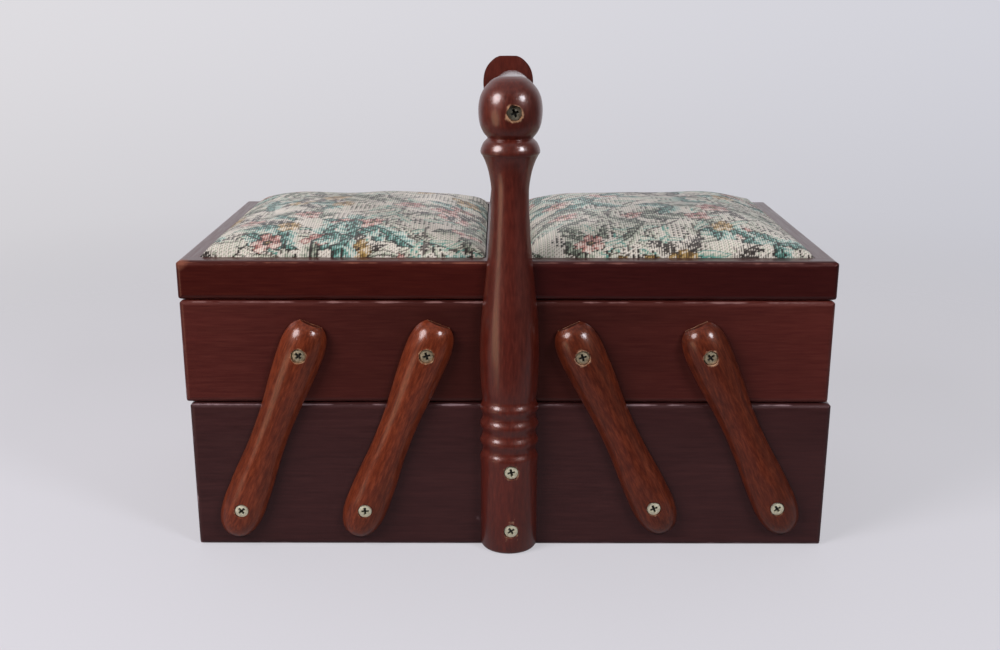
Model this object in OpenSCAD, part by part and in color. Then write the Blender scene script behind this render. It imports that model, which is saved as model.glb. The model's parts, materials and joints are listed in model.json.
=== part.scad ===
// Sewing carrier: a base box under two trays that swing out on split-turned arms,
// each tray with an upholstered lid, and a turned handle on two split-turned posts.
// X is the width, Y the depth (front at -Y) and Z is up. The base stands on z = 0.

/* [Box] */
// Width of the base box
body_w = 350; // [344:1:356]
// Depth of the base box, front face to back face
body_d = 185.5; // [180:0.5:192]
// Height of the base box
base_h = 84.25; // [83:0.25:86]
// Height of a tray
tray_h = 57.35; // [54:0.05:60]
// Height of a lid's rails
lid_h = 21.1; // [19:0.1:24]
// Thickness of the boards
board_t = 9; // [8:0.5:10]
// Thickness of the base's floor panel
base_floor_t = 4; // [3:0.5:5]
// Thickness of a tray's floor panel
tray_floor_t = 3; // [2.5:0.5:4]
// Thickness of the divider in a tray
divider_t = 4; // [3:0.5:6]
// How far the trays and lids sit off the base's middle, to the left
tray_shift = 1.95; // [0:0.05:3]
// Gap between base and tray, and between tray and lid
layer_gap = 0.3; // [0.2:0.05:0.5]
// Gap between the two halves in the middle
half_gap = 0.8; // [0.5:0.1:1.5]
// How much less deep the trays and lids are, so that they pass the posts
depth_relief = 0.8; // [0.6:0.1:1.2]
// Eased radius of the top edges and of the base's corners
edge_r = 3; // [2:0.25:3.25]
// Eased radius of the bottom edges of base, trays and lids
under_r = 3; // [2:0.25:3.5]

/* [Arms] */
// Distance between an arm's two pivots
arm_reach = 96.2; // [95:0.1:98]
// Lean of the left arms towards the middle, in degrees
lean_left = 21.5; // [20:0.1:23]
// Lean of the right arms towards the middle, in degrees
lean_right = 25.2; // [24:0.1:27]
// Distance between the outer and the inner arm of one side
arm_spacing = 68; // [66:0.5:69]
// Left outer arm's lower pivot, from the middle
left_pivot_x = 148.1; // [146:0.1:150]
// Right outer arm's lower pivot, from the middle
right_pivot_x = 147; // [146:0.1:150]
// Height of the left arms' lower pivots
left_pivot_z = 24.4; // [23:0.1:28]
// Height of the right arms' lower pivots
right_pivot_z = 26.2; // [24:0.1:28]
// How far the arm's flat back is planed in front of its turning axis
arm_flat = 4; // [3:0.25:5]
// Gap between the base's face and the arms' flat backs
arm_gap = 0.9; // [0.7:0.05:1.2]

/* [Posts and handle] */
// Middle of the posts, to the left of the base's middle
post_offset = 0.75; // [0:0.05:2]
// How far the post's flat back is planed in front of its turning axis
post_flat = 3.3; // [2.5:0.1:4]
// Height of the handle bar's axis
handle_z = 241.8; // [240:0.2:244]
// Handle bar's axis, to the right of the base's middle
handle_x = 1.2; // [-1:0.1:2]
// Radius of the handle bar in the middle
handle_r = 12.3; // [11:0.1:14]
// Radius of the handle bar at its ends
handle_end_r = 7.6; // [7:0.1:9]

/* [Lids] */
// Width of a lid's end rails
end_rail_w = 11; // [10:0.5:12]
// Width of a lid's front and back rails
side_rail_w = 10; // [9:0.5:11]
// How much wider a lid is than its tray at the outer end
lid_overhang = 0.45; // [0:0.05:0.8]
// Height of the cushion's crown above the rails
crown_h = 17.2; // [15:0.2:20]
// Thickness of the cover fabric
cover_t = 1; // [0.8:0.1:1.5]
// Distance of each hinge from the middle of the depth
hinge_y = 52; // [40:1:60]

/* [Screws] */
// Diameter of the screws' shanks
shank_d = 3.5; // [3:0.1:4]
// Diameter of the screws' heads
head_d = 7.2; // [7:0.1:7.4]
// Radial running clearance of an arm on its screw
run_clear = 0.05; // [0.02:0.01:0.1]
// Radial clearance of the inner arms on the tray's screws
loose_clear = 0.25; // [0.2:0.05:0.4]

/* [Hidden] */

// Heights of the layers
tray_z = base_h + layer_gap;
tray_top = tray_z + tray_h;
lid_z = tray_top + layer_gap;
lid_top = lid_z + lid_h;
seam_z = tray_top + layer_gap / 2;

// Depths
front_y = -body_d / 2;
upper_d = body_d - depth_relief;
arm_back_y = front_y - arm_gap;
tray_w = (body_w - half_gap) / 2;
lid_w = tray_w + lid_overhang;

// Colours
base_wood = "#3e2023";
tray_wood = "#4e211b";
lid_wood = "#48191a";
arm_wood = "#7a3a22";
post_wood = "#5e2a20";
ply = "#b08d62";
steel = "#b9b3a6";
brass = "#b8924a";
cloth = "#c9c6b4";
foam = "#e6dcc0";

// Floors and their grooves
rabbet_w = 5;
groove_w = 4;
tray_floor_up = 2;
fit_gap = 0.05;

// Screws: seat is the depth of wood left under a head, bite the length in the board
arm_seat = 6.2;
post_seat = 10.4;
pivot_bite = 7;
head_h = 1.3;
dome_rise = 0.6;
well_d = 7.9;
cross_l = 4.4;
cross_w = 1.1;
cross_depth = 1.5;
washer_d = 10;
washer_gap = 0.1;
post_screw_x = 0.4;
post_screw_z = [14, 48.7];
post_bite = 7;
handle_bite = 22;

// Cushions: the panel rests on a ledge below the rails' inner faces
ledge_w = 4;
ledge_h = 4.2;
panel_t = 3;
panel_gap = 0.4;
cushion_power = 2;
cushion_steps = 16;

// Hinges: the pin lies in the seam, just outside the end faces
hinge_len = 30;
knuckle_r = 1.6;
hinge_pin_r = 0.8;
hinge_reach = 2;
leaf_w = 10.4;
leaf_t = 0.9;
leaf_gap = 0.05;
knuckle_gap = 0.15;
hinge_screw_d = 1.6;
hinge_head_d = 3.2;
hinge_head_h = 0.5;
hinge_screw_l = 6.5;
hinge_screw_y = 9;
hinge_screw_x = 6.7;
knuckle_room = 0.3;

// Half-widths of an arm's outline by distance from its lower pivot
arm_tip = -19.4;
arm_tip_mid = 2.6;
arm_tip_w = 12;
tip_power = 2.4;
arm_outline = [
    [2.6, 12], [17.6, 11.4], [32.6, 10.3], [47.6, 9.9], [62.6, 10.4], [77.6, 11.6],
    [92.6, 12.35], [99, 12.35], [104, 11.8], [108, 10.7], [111, 8.9], [113.2, 6.5]
];

// Half-widths of a post's outline by height
foot_ease = 2;
post_shaft_w = 15.6;
post_neck = [[49, 15.6], [51.8, 15.85]];
bead_crest_z = 54.3;
bead_pitch = 9.55;
bead_count = 3.5;
bead_w = 16;
bead_groove_w = 14.5;
post_vase = [
    [87.725, 14.5], [93, 15.25], [104, 15.85], [115, 16], [135, 15], [155, 12.9], [175, 11.1],
    [200.4, 9.9], [210, 11.1], [216, 12.9], [220.2, 15]
];
post_collar = [[221.4, 15.4], [223.6, 15], [226.2, 13.8], [228.2, 11.8]];
post_ball = [
    [231.2, 14], [235.5, 15.8], [242.5, 16.5], [248.5, 15.7], [252.8, 13.8],
    [256.4, 10.7], [258.2, 8.3], [259, 6.4]
];

// Slope of a curve through points p at point i
function slope(p, i) =
    let (a = max(i - 1, 0), b = min(i + 1, len(p) - 1))
    (p[b][1] - p[a][1]) / (p[b][0] - p[a][0]);

// Smooth curve through points p, with a few steps between each two
function curve(p, steps = 3) = [
    for (i = [0 : len(p) - 2], k = [0 : steps - 1])
        let (
            t = k / steps,
            h = p[i + 1][0] - p[i][0],
            t2 = t * t,
            t3 = t2 * t
        )
        [
            p[i][0] + t * h,
            (2 * t3 - 3 * t2 + 1) * p[i][1] + (t3 - 2 * t2 + t) * h * slope(p, i)
                + (3 * t2 - 2 * t3) * p[i + 1][1] + (t3 - t2) * h * slope(p, i + 1)
        ],
    p[len(p) - 1]
];

// Soft round beads between grooves, as a wave that starts on a crest
function beads(start, pitch, count, crest, groove, steps = 8) = [
    for (k = [0 : count * steps - 1])
        [
            start + k / steps * pitch,
            (crest + groove) / 2 + (crest - groove) / 2 * cos(360 * k / steps)
        ]
];

// Full, round end from its tip up to its widest place
function round_end(tip, middle, wide, steps = 8) = [
    for (k = [0 : steps - 1])
        let (a = 90 * k / steps)
        [
            middle - (middle - tip) * pow(cos(a), 2 / tip_power),
            wide * pow(sin(a), 2 / tip_power)
        ]
];

// Turned shape from half-widths seen at a flat that lies `flat` in front of the axis
module turned(outline, flat) {
    radii = [for (p = outline) [sqrt(p[1] * p[1] + flat * flat), p[0]]];
    rotate_extrude($fn = 96)
        polygon(concat([[0, radii[0][1]]], radii, [[0, radii[len(radii) - 1][1]]]));
}

// Half of a turned shape, with its flat back on the plane y = 0 and its crest at -Y
module split_turned(outline, flat, low, high) {
    reach = 20;
    difference() {
        translate([0, flat, 0]) turned(outline, flat);
        translate([-reach, 0, low - 1]) cube([2 * reach, 2 * reach, high - low + 2]);
    }
}

// Puts a shape that points along +Z onto the front, pointing forwards
module facing_front(x, y, z) {
    translate([x, y, z]) rotate([90, 0, 0]) children();
}

// The shape and its copy at the back
module front_and_back() {
    children();
    mirror([0, 1, 0]) children();
}

// Section with eased corners: r_top above, r_low below
module eased_section(w, h, r_top, r_low) {
    difference() {
        translate([-w / 2, 0]) square([w, h]);
        for (side = [-1, 1]) {
            translate([side * w / 2, h]) corner_waste(r_top, -side, -1);
            if (r_low > 0) translate([side * w / 2, 0]) corner_waste(r_low, -side, 1);
        }
    }
}

// What rounding takes off a corner at the origin; inward is towards sx, sy
module corner_waste(r, sx, sy) {
    difference() {
        translate([sx * (r - 1) / 2, sy * (r - 1) / 2]) square(r + 1, center = true);
        translate([sx * r, sy * r]) circle(r, $fn = 48);
    }
}

// Plan with rounded corners
module eased_plan(w, d, r) {
    difference() {
        square([w, d], center = true);
        for (sx = [-1, 1], sy = [-1, 1])
            translate([sx * w / 2, sy * d / 2]) corner_waste(r, -sx, -sy);
    }
}

// Solid block with all its outer edges eased, standing on z = 0
module eased_block(w, d, h, r_top, r_low, r_plan) {
    intersection() {
        linear_extrude(h) eased_plan(w, d, r_plan);
        translate([0, d / 2 + 1, 0]) rotate([90, 0, 0])
            linear_extrude(d + 2) eased_section(w, h, r_top, r_low);
        translate([-w / 2 - 1, 0, 0]) rotate([90, 0, 90])
            linear_extrude(w + 2) eased_section(d, h, r_top, r_low);
    }
}

// Screw whose head sits at z = 0, with a shank that reaches down by `length`
module screw(length) {
    top = head_h + dome_rise;
    dome_r = (head_d * head_d / 4 + dome_rise * dome_rise) / (2 * dome_rise);
    difference() {
        union() {
            intersection() {
                cylinder(d = head_d, h = top + 1, $fn = 48);
                translate([0, 0, top - dome_r]) sphere(dome_r, $fn = 64);
            }
            translate([0, 0, -length]) cylinder(d = shank_d, h = length, $fn = 32);
        }
        for (a = [45, 135])
            rotate([0, 0, a])
                translate([-cross_l / 2, -cross_w / 2, top - cross_depth])
                    cube([cross_l, cross_w, cross_depth + 1]);
    }
}

// Flat ring on z = 0
module washer(thick) {
    difference() {
        cylinder(d = washer_d, h = thick, $fn = 48);
        translate([0, 0, -1]) cylinder(r = shank_d / 2 + run_clear, h = thick + 2, $fn = 32);
    }
}

// Places of the lower pivots, as [x, z]
lower_pivots = [
    [-left_pivot_x, left_pivot_z],
    [-left_pivot_x + arm_spacing, left_pivot_z],
    [right_pivot_x, right_pivot_z],
    [right_pivot_x - arm_spacing, right_pivot_z]
];

// Place of the upper pivot above a lower one, for side -1 (left) or 1 (right)
function lean(side) = side < 0 ? lean_left : lean_right;
function upper_pivot(p, side) =
    [p[0] - side * arm_reach * sin(lean(side)), p[1] + arm_reach * cos(lean(side))];
function side_pivots(side) = side < 0
    ? [lower_pivots[0], lower_pivots[1]]
    : [lower_pivots[2], lower_pivots[3]];

// Base box

module base_block() {
    eased_block(body_w, body_d, base_h, edge_r, under_r, edge_r);
}

module base_floor_shape() {
    inside = board_t - rabbet_w;
    translate([-body_w / 2 + inside, front_y + inside, 0])
        cube([body_w - 2 * inside, body_d - 2 * inside, base_floor_t]);
}

module base_front_shape() {
    difference() {
        intersection() {
            base_block();
            translate([-body_w / 2 - 1, front_y - 1, -1])
                cube([body_w + 2, board_t + 1, base_h + 2]);
        }
        base_floor_shape();
        for (p = lower_pivots)
            facing_front(p[0], front_y + pivot_bite, p[1])
                cylinder(d = shank_d, h = pivot_bite + 1, $fn = 32);
        for (z = post_screw_z)
            facing_front(post_screw_x, front_y + post_bite, z)
                cylinder(d = shank_d, h = post_bite + 1, $fn = 32);
    }
}

module base_front_board() {
    color(base_wood) base_front_shape();
}

module base_back_board() {
    color(base_wood) mirror([0, 1, 0]) base_front_shape();
}

module base_end(side) {
    color(base_wood) difference() {
        intersection() {
            base_block();
            translate([side > 0 ? body_w / 2 - board_t : -body_w / 2 - 1, front_y + board_t, -1])
                cube([board_t + 1, body_d - 2 * board_t, base_h + 2]);
        }
        base_floor_shape();
    }
}

module base_floor() {
    color(ply) base_floor_shape();
}

module base_pivot_screws() {
    color(steel) front_and_back()
        for (p = lower_pivots)
            facing_front(p[0], arm_back_y - arm_seat - washer_gap, p[1])
                screw(arm_seat + washer_gap + arm_gap + pivot_bite);
}

module base_pivot_washers() {
    color(steel) front_and_back()
        for (p = lower_pivots) facing_front(p[0], front_y, p[1]) washer(arm_gap - washer_gap);
}

// Posts and handle

post_outline = concat(
    [[0, post_shaft_w - foot_ease], [foot_ease / 2, post_shaft_w - foot_ease / 4]],
    [[foot_ease, post_shaft_w]],
    post_neck,
    beads(bead_crest_z, bead_pitch, bead_count, bead_w, bead_groove_w),
    curve(post_vase),
    curve(post_collar, 2),
    curve(post_ball, 2)
);

module post_shape() {
    difference() {
        translate([-post_offset, front_y, 0]) split_turned(post_outline, post_flat, 0, 260);
        for (z = post_screw_z)
            facing_front(post_screw_x, front_y + 1, z) {
                cylinder(d = shank_d, h = 20, $fn = 32);
                translate([0, 0, post_seat + 1]) cylinder(d = well_d, h = 10, $fn = 48);
            }
        facing_front(handle_x, front_y + 1, handle_z) {
            cylinder(d = shank_d, h = 20, $fn = 32);
            translate([0, 0, post_seat + 1]) cylinder(d = well_d, h = 10, $fn = 48);
        }
    }
}

module front_post() {
    color(post_wood) post_shape();
}

module back_post() {
    color(post_wood) mirror([0, 1, 0]) post_shape();
}

// Barrel that is thickest in the middle of the hand's grip
module handle_bar() {
    half = body_d / 2;
    steps = 12;
    outline = [
        for (k = [-steps : steps])
            [k / steps * half, handle_end_r + (handle_r - handle_end_r) * (1 - pow(k / steps, 2))]
    ];
    color(post_wood) difference() {
        translate([handle_x, 0, handle_z]) rotate([90, 0, 0]) turned(outline, 0);
        front_and_back()
            facing_front(handle_x, front_y + handle_bite, handle_z)
                cylinder(d = shank_d, h = handle_bite + 1, $fn = 32);
    }
}

module post_screws() {
    color(steel) front_and_back() {
        for (z = post_screw_z)
            facing_front(post_screw_x, front_y - post_seat, z) screw(post_seat + post_bite);
        facing_front(handle_x, front_y - post_seat, handle_z) screw(post_seat + handle_bite);
    }
}

// Arms

arm_shape_outline = concat(round_end(arm_tip, arm_tip_mid, arm_tip_w), curve(arm_outline));

module arm_shape(upper_clear) {
    difference() {
        split_turned(arm_shape_outline, arm_flat, arm_tip, 114);
        for (pivot = [[0, run_clear], [arm_reach, upper_clear]])
            facing_front(0, 1, pivot[0]) {
                cylinder(r = shank_d / 2 + pivot[1], h = 20, $fn = 32);
                translate([0, 0, arm_seat + 1]) cylinder(d = well_d, h = 10, $fn = 48);
            }
    }
}

// Arm on a lower pivot; inner arms run loosely on the tray's screw
module arm(side, inner) {
    p = side_pivots(side)[inner];
    color(arm_wood) translate([p[0], arm_back_y, p[1]]) rotate([0, -side * lean(side), 0])
        arm_shape(inner == 1 ? loose_clear : run_clear);
}

// Puts a shape drawn as the right-hand one, with x = 0 at its inner end, onto a side:
// side is -1 for the left and 1 for the right
module at_side(side) {
    translate([-tray_shift, 0, 0]) {
        if (side > 0) translate([half_gap / 2, 0, 0]) children();
        if (side < 0) mirror([1, 0, 0]) translate([half_gap / 2, 0, 0]) children();
    }
}

// Upper pivots of a side in that drawing, as [x, z]
function local_pivots(side) = [
    for (p = side_pivots(side))
        let (u = upper_pivot(p, side))
        [side * (u[0] + tray_shift) - half_gap / 2, u[1]]
];

// Trays

module tray_block() {
    translate([tray_w / 2, 0, tray_z])
        eased_block(tray_w, upper_d, tray_h, edge_r, under_r, edge_r);
}

module tray_floor_shape() {
    inside = board_t - groove_w;
    translate([inside, -upper_d / 2 + inside, tray_z + tray_floor_up])
        cube([tray_w - 2 * inside, upper_d - 2 * inside, tray_floor_t]);
}

module tray_front_shape(side) {
    difference() {
        intersection() {
            tray_block();
            translate([-1, -upper_d / 2 - 1, tray_z - 1])
                cube([tray_w + 2, board_t + 1, tray_h + 2]);
        }
        tray_floor_shape();
        for (p = local_pivots(side))
            facing_front(p[0], -upper_d / 2 + pivot_bite, p[1])
                cylinder(d = shank_d, h = pivot_bite + 1, $fn = 32);
    }
}

module tray_front(side) {
    color(tray_wood) at_side(side) tray_front_shape(side);
}

module tray_back(side) {
    color(tray_wood) at_side(side) mirror([0, 1, 0]) tray_front_shape(side);
}

module tray_end(side, outer) {
    color(tray_wood) at_side(side) difference() {
        intersection() {
            tray_block();
            translate([outer ? tray_w - board_t : -1, -upper_d / 2 + board_t, tray_z - 1])
                cube([board_t + 1, upper_d - 2 * board_t, tray_h + 2]);
        }
        tray_floor_shape();
        if (outer) hinge_places() leaf_pocket(-1);
        if (outer) hinge_places() leaf_screws(-1);
    }
}

module tray_floor(side) {
    color(ply) at_side(side) tray_floor_shape();
}

module tray_divider(side) {
    floor_top = tray_z + tray_floor_up + tray_floor_t;
    color(tray_wood) at_side(side)
        translate([tray_w / 2 - divider_t / 2, -upper_d / 2 + board_t, floor_top])
            cube([divider_t, upper_d - 2 * board_t, tray_top - floor_top - 8]);
}

module tray_pivot_screws(side) {
    color(steel) at_side(side) front_and_back()
        for (p = local_pivots(side))
            facing_front(p[0], arm_back_y - arm_seat - washer_gap, p[1])
                screw(arm_seat + washer_gap + arm_gap + depth_relief / 2 + pivot_bite);
}

module tray_pivot_washers(side) {
    color(steel) at_side(side) front_and_back()
        for (p = local_pivots(side))
            facing_front(p[0], -upper_d / 2, p[1]) washer(arm_gap + depth_relief / 2 - washer_gap);
}

// Hinges, two to a lid. Each is drawn round its pin along Y, with the box at -X

module hinge_places() {
    for (y = [-hinge_y, hinge_y])
        translate([lid_w + hinge_reach, y, seam_z]) children();
}

// The pocket that a leaf is let into: layer is 1 in the lid and -1 in the tray
module leaf_pocket(layer) {
    low = layer > 0 ? 0 : -leaf_t - leaf_gap;
    translate([-leaf_w - fit_gap, -hinge_len / 2 - fit_gap, low])
        cube([leaf_w + 1, hinge_len + 2 * fit_gap, leaf_t + leaf_gap]);
}

// Screws of one leaf, from its face in the seam into the wood
module leaf_screws(layer) {
    for (y = [-hinge_screw_y, hinge_screw_y])
        translate([-hinge_screw_x, y, layer * leaf_gap]) {
            translate([0, 0, layer > 0 ? 0 : -hinge_head_h])
                cylinder(d = hinge_head_d, h = hinge_head_h, $fn = 32);
            translate([0, 0, layer > 0 ? 0 : -hinge_screw_l])
                cylinder(d = hinge_screw_d, h = hinge_screw_l, $fn = 24);
        }
}

// Leaf with its knuckles: the tray's has the two outer ones, the lid's the middle one
module leaf(layer) {
    third = hinge_len / 3;
    knuckles = layer > 0 ? [0] : [-third, third];
    others = layer > 0 ? [-third, third] : [0];
    bore_r = layer > 0 ? hinge_pin_r + run_clear : hinge_pin_r;
    difference() {
        union() {
            translate([-leaf_w, -hinge_len / 2, layer > 0 ? leaf_gap : -leaf_gap - leaf_t])
                cube([leaf_w, hinge_len, leaf_t]);
            for (y = knuckles)
                translate([0, y + third / 2 - knuckle_gap / 2, 0]) rotate([90, 0, 0])
                    cylinder(r = knuckle_r, h = third - knuckle_gap, $fn = 32);
        }
        for (y = others)
            translate([-knuckle_r - knuckle_room, y - third / 2 - knuckle_gap / 2, -knuckle_r - 1])
                cube([2 * knuckle_r + 2, third + knuckle_gap, 2 * knuckle_r + 2]);
        translate([0, hinge_len, 0]) rotate([90, 0, 0])
            cylinder(r = bore_r, h = 2 * hinge_len, $fn = 32);
        leaf_screws(layer);
    }
}

module tray_hinge_leaves(side) {
    color(brass) at_side(side) hinge_places() leaf(-1);
}

module lid_hinge_leaves(side) {
    color(brass) at_side(side) hinge_places() leaf(1);
}

module hinge_pins(side) {
    color(brass) at_side(side) hinge_places()
        translate([0, hinge_len / 2, 0]) rotate([90, 0, 0])
            cylinder(r = hinge_pin_r, h = hinge_len, $fn = 32);
}

module tray_hinge_screws(side) {
    color(brass) at_side(side) hinge_places() leaf_screws(-1);
}

module lid_hinge_screws(side) {
    color(brass) at_side(side) hinge_places() leaf_screws(1);
}

// Lids: four rails, a panel on their ledge, a pad and its cover

module lid_block() {
    translate([lid_w / 2, 0, lid_z])
        eased_block(lid_w, upper_d, lid_h, edge_r, under_r, edge_r);
}

// The opening inside the rails, with the ledge left below
module lid_opening() {
    open_w = lid_w - 2 * end_rail_w;
    open_d = upper_d - 2 * side_rail_w;
    translate([end_rail_w, -open_d / 2, lid_z + ledge_h]) cube([open_w, open_d, lid_h]);
    translate([end_rail_w + ledge_w, -open_d / 2 + ledge_w, lid_z - 1])
        cube([open_w - 2 * ledge_w, open_d - 2 * ledge_w, lid_h]);
}

// Space that one rail takes up, with its share of the ledge: the end rails stand between
// the front and the back rail
module rail_space(place) {
    half = upper_d / 2;
    high = lid_h + 2;
    if (place == "front") translate([0, -half - 1, lid_z - 1]) {
        translate([-1, 0, 0]) cube([lid_w + 2, side_rail_w + 1, high]);
        translate([end_rail_w, 0, 0])
            cube([lid_w - 2 * end_rail_w, side_rail_w + ledge_w + 1, high]);
    }
    if (place == "inner") {
        between = half - side_rail_w;
        translate([-1, -between, lid_z - 1]) cube([end_rail_w + 1, 2 * between, high]);
        translate([-1, -between + ledge_w, lid_z - 1])
            cube([end_rail_w + ledge_w + 1, 2 * (between - ledge_w), high]);
    }
    if (place == "back") mirror([0, 1, 0]) rail_space("front");
    if (place == "outer") translate([lid_w, 0, 0]) mirror([1, 0, 0]) rail_space("inner");
}

module lid_rail(side, place) {
    color(lid_wood) at_side(side) difference() {
        intersection() {
            lid_block();
            rail_space(place);
        }
        lid_opening();
        if (place == "outer") hinge_places() leaf_pocket(1);
        if (place == "outer") hinge_places() leaf_screws(1);
    }
}

// Block that fills the opening with a gap all round, from z = low, `high` tall
module opening_block(gap, low, high) {
    w = lid_w - 2 * end_rail_w - 2 * gap;
    d = upper_d - 2 * side_rail_w - 2 * gap;
    translate([end_rail_w + gap, -d / 2, low]) cube([w, d, high]);
}

module lid_board(side) {
    color(ply) at_side(side) opening_block(panel_gap + cover_t, lid_z + ledge_h, panel_t);
}

// Side view of a cushion: upright sides and a crown that is flat in the middle
module cushion_section(half_w, rise, low) {
    crown = [
        for (k = [0 : cushion_steps])
            let (a = 180 * k / cushion_steps, c = cos(a))
            [
                half_w * sign(c) * pow(abs(c), 2 / cushion_power),
                rise * pow(sin(a), 2 / cushion_power)
            ]
    ];
    polygon(concat([[half_w, -low]], crown, [[-half_w, -low]]));
}

// Crowned block over the opening, inset from the rails, from z = low up to the crown
module cushion_shape(inset, low, crown) {
    half_w = lid_w / 2 - end_rail_w - inset;
    half_d = upper_d / 2 - side_rail_w - inset;
    spring_z = lid_top - 2;
    rise = lid_top + crown - spring_z;
    translate([lid_w / 2, 0, spring_z]) intersection() {
        translate([0, half_d + 1, 0]) rotate([90, 0, 0])
            linear_extrude(2 * half_d + 2) cushion_section(half_w, rise, spring_z - low);
        translate([-half_w - 1, 0, 0]) rotate([90, 0, 90])
            linear_extrude(2 * half_w + 2) cushion_section(half_d, rise, spring_z - low);
    }
}

module lid_pad(side) {
    color(foam) at_side(side)
        cushion_shape(panel_gap + cover_t, lid_z + ledge_h + panel_t, crown_h - cover_t);
}

// Fabric over the pad and down round the panel's edge
module lid_cover(side) {
    color(cloth) at_side(side) difference() {
        cushion_shape(panel_gap, lid_z + ledge_h, crown_h);
        cushion_shape(panel_gap + cover_t, lid_z + ledge_h - 1, crown_h - cover_t);
    }
}

base_front_board();
base_back_board();
base_end(-1);  // base_left_end
base_end(1);  // base_right_end
base_floor();
front_post();
back_post();
handle_bar();
post_screws();
base_pivot_screws();
base_pivot_washers();
arm(-1, 0);  // left_outer_arm_front
mirror([0, 1, 0]) arm(-1, 0);  // left_outer_arm_back
arm(-1, 1);  // left_inner_arm_front
mirror([0, 1, 0]) arm(-1, 1);  // left_inner_arm_back
arm(1, 0);  // right_outer_arm_front
mirror([0, 1, 0]) arm(1, 0);  // right_outer_arm_back
arm(1, 1);  // right_inner_arm_front
mirror([0, 1, 0]) arm(1, 1);  // right_inner_arm_back
tray_front(-1);  // left_tray_front
tray_back(-1);  // left_tray_back
tray_end(-1, true);  // left_tray_outer_end
tray_end(-1, false);  // left_tray_inner_end
tray_floor(-1);  // left_tray_floor
tray_divider(-1);  // left_tray_divider
tray_pivot_screws(-1);  // left_tray_pivot_screws
tray_pivot_washers(-1);  // left_tray_pivot_washers
tray_hinge_leaves(-1);  // left_tray_hinge_leaves
hinge_pins(-1);  // left_hinge_pins
tray_hinge_screws(-1);  // left_tray_hinge_screws
lid_rail(-1, "front");  // left_lid_front_rail
lid_rail(-1, "back");  // left_lid_back_rail
lid_rail(-1, "outer");  // left_lid_outer_rail
lid_rail(-1, "inner");  // left_lid_inner_rail
lid_board(-1);  // left_lid_board
lid_pad(-1);  // left_lid_pad
lid_cover(-1);  // left_lid_cover
lid_hinge_leaves(-1);  // left_lid_hinge_leaves
lid_hinge_screws(-1);  // left_lid_hinge_screws
tray_front(1);  // right_tray_front
tray_back(1);  // right_tray_back
tray_end(1, true);  // right_tray_outer_end
tray_end(1, false);  // right_tray_inner_end
tray_floor(1);  // right_tray_floor
tray_divider(1);  // right_tray_divider
tray_pivot_screws(1);  // right_tray_pivot_screws
tray_pivot_washers(1);  // right_tray_pivot_washers
tray_hinge_leaves(1);  // right_tray_hinge_leaves
hinge_pins(1);  // right_hinge_pins
tray_hinge_screws(1);  // right_tray_hinge_screws
lid_rail(1, "front");  // right_lid_front_rail
lid_rail(1, "back");  // right_lid_back_rail
lid_rail(1, "outer");  // right_lid_outer_rail
lid_rail(1, "inner");  // right_lid_inner_rail
lid_board(1);  // right_lid_board
lid_pad(1);  // right_lid_pad
lid_cover(1);  // right_lid_cover
lid_hinge_leaves(1);  // right_lid_hinge_leaves
lid_hinge_screws(1);  // right_lid_hinge_screws
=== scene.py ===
"""Sewing carrier with two lids: its turned parts, screws, cushions and every finish."""
import json
import math
import random

import bmesh
import bpy
import numpy as np
from mathutils import Matrix, Vector
from mathutils.bvhtree import BVHTree


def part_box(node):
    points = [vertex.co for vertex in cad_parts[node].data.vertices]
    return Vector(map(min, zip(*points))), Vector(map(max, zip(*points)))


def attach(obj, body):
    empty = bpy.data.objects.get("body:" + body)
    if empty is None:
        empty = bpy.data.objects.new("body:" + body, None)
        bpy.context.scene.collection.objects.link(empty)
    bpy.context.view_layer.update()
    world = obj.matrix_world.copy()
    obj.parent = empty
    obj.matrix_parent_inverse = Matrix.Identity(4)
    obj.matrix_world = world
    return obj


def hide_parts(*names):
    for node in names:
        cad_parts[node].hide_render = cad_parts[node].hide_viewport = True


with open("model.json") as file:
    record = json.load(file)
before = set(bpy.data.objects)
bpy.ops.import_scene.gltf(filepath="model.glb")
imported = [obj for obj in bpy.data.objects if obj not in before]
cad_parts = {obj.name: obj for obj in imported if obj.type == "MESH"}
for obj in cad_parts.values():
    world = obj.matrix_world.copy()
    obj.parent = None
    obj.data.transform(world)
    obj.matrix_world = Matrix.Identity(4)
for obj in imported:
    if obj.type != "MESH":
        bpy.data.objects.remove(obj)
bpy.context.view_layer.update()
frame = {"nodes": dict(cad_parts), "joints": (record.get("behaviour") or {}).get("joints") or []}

MM = 0.001
SIDES = ("left", "right")
SCENE = bpy.context.scene


# Places taken from the frame, in metres

def pivot(joint):
    """Where a joint's axis passes through the plane y = 0."""
    return Vector(next(j["pos_m"] for j in frame["joints"] if j["name"] == joint))


def middle(node):
    low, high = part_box(node)
    return (low + high) / 2


POST_BACK_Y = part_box("front_post")[1].y
POST_X = middle("front_post").x
HANDLE = middle("handle_bar")
ARM_BACK_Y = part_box("left_inner_arm_front")[1].y
LEAN = {side: pivot(f"{side}_tray_level") - pivot(f"{side}_outer_swing") for side in SIDES}
ARM_REACH = LEAN["left"].length
LID_CORNER = (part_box("left_lid_outer_rail")[0].x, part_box("left_lid_front_rail")[0].y,
              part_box("left_lid_front_rail")[1].z)
LOWER_PIVOTS = {
    (side, row): pivot(f"{side}_{row}_swing") for side in SIDES for row in ("outer", "inner")
}
UPPER_PIVOTS = {key: place + LEAN[key[0]] for key, place in LOWER_PIVOTS.items()}


# Turned outlines in mm: distance along the axis, half-width at the planed flat

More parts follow.
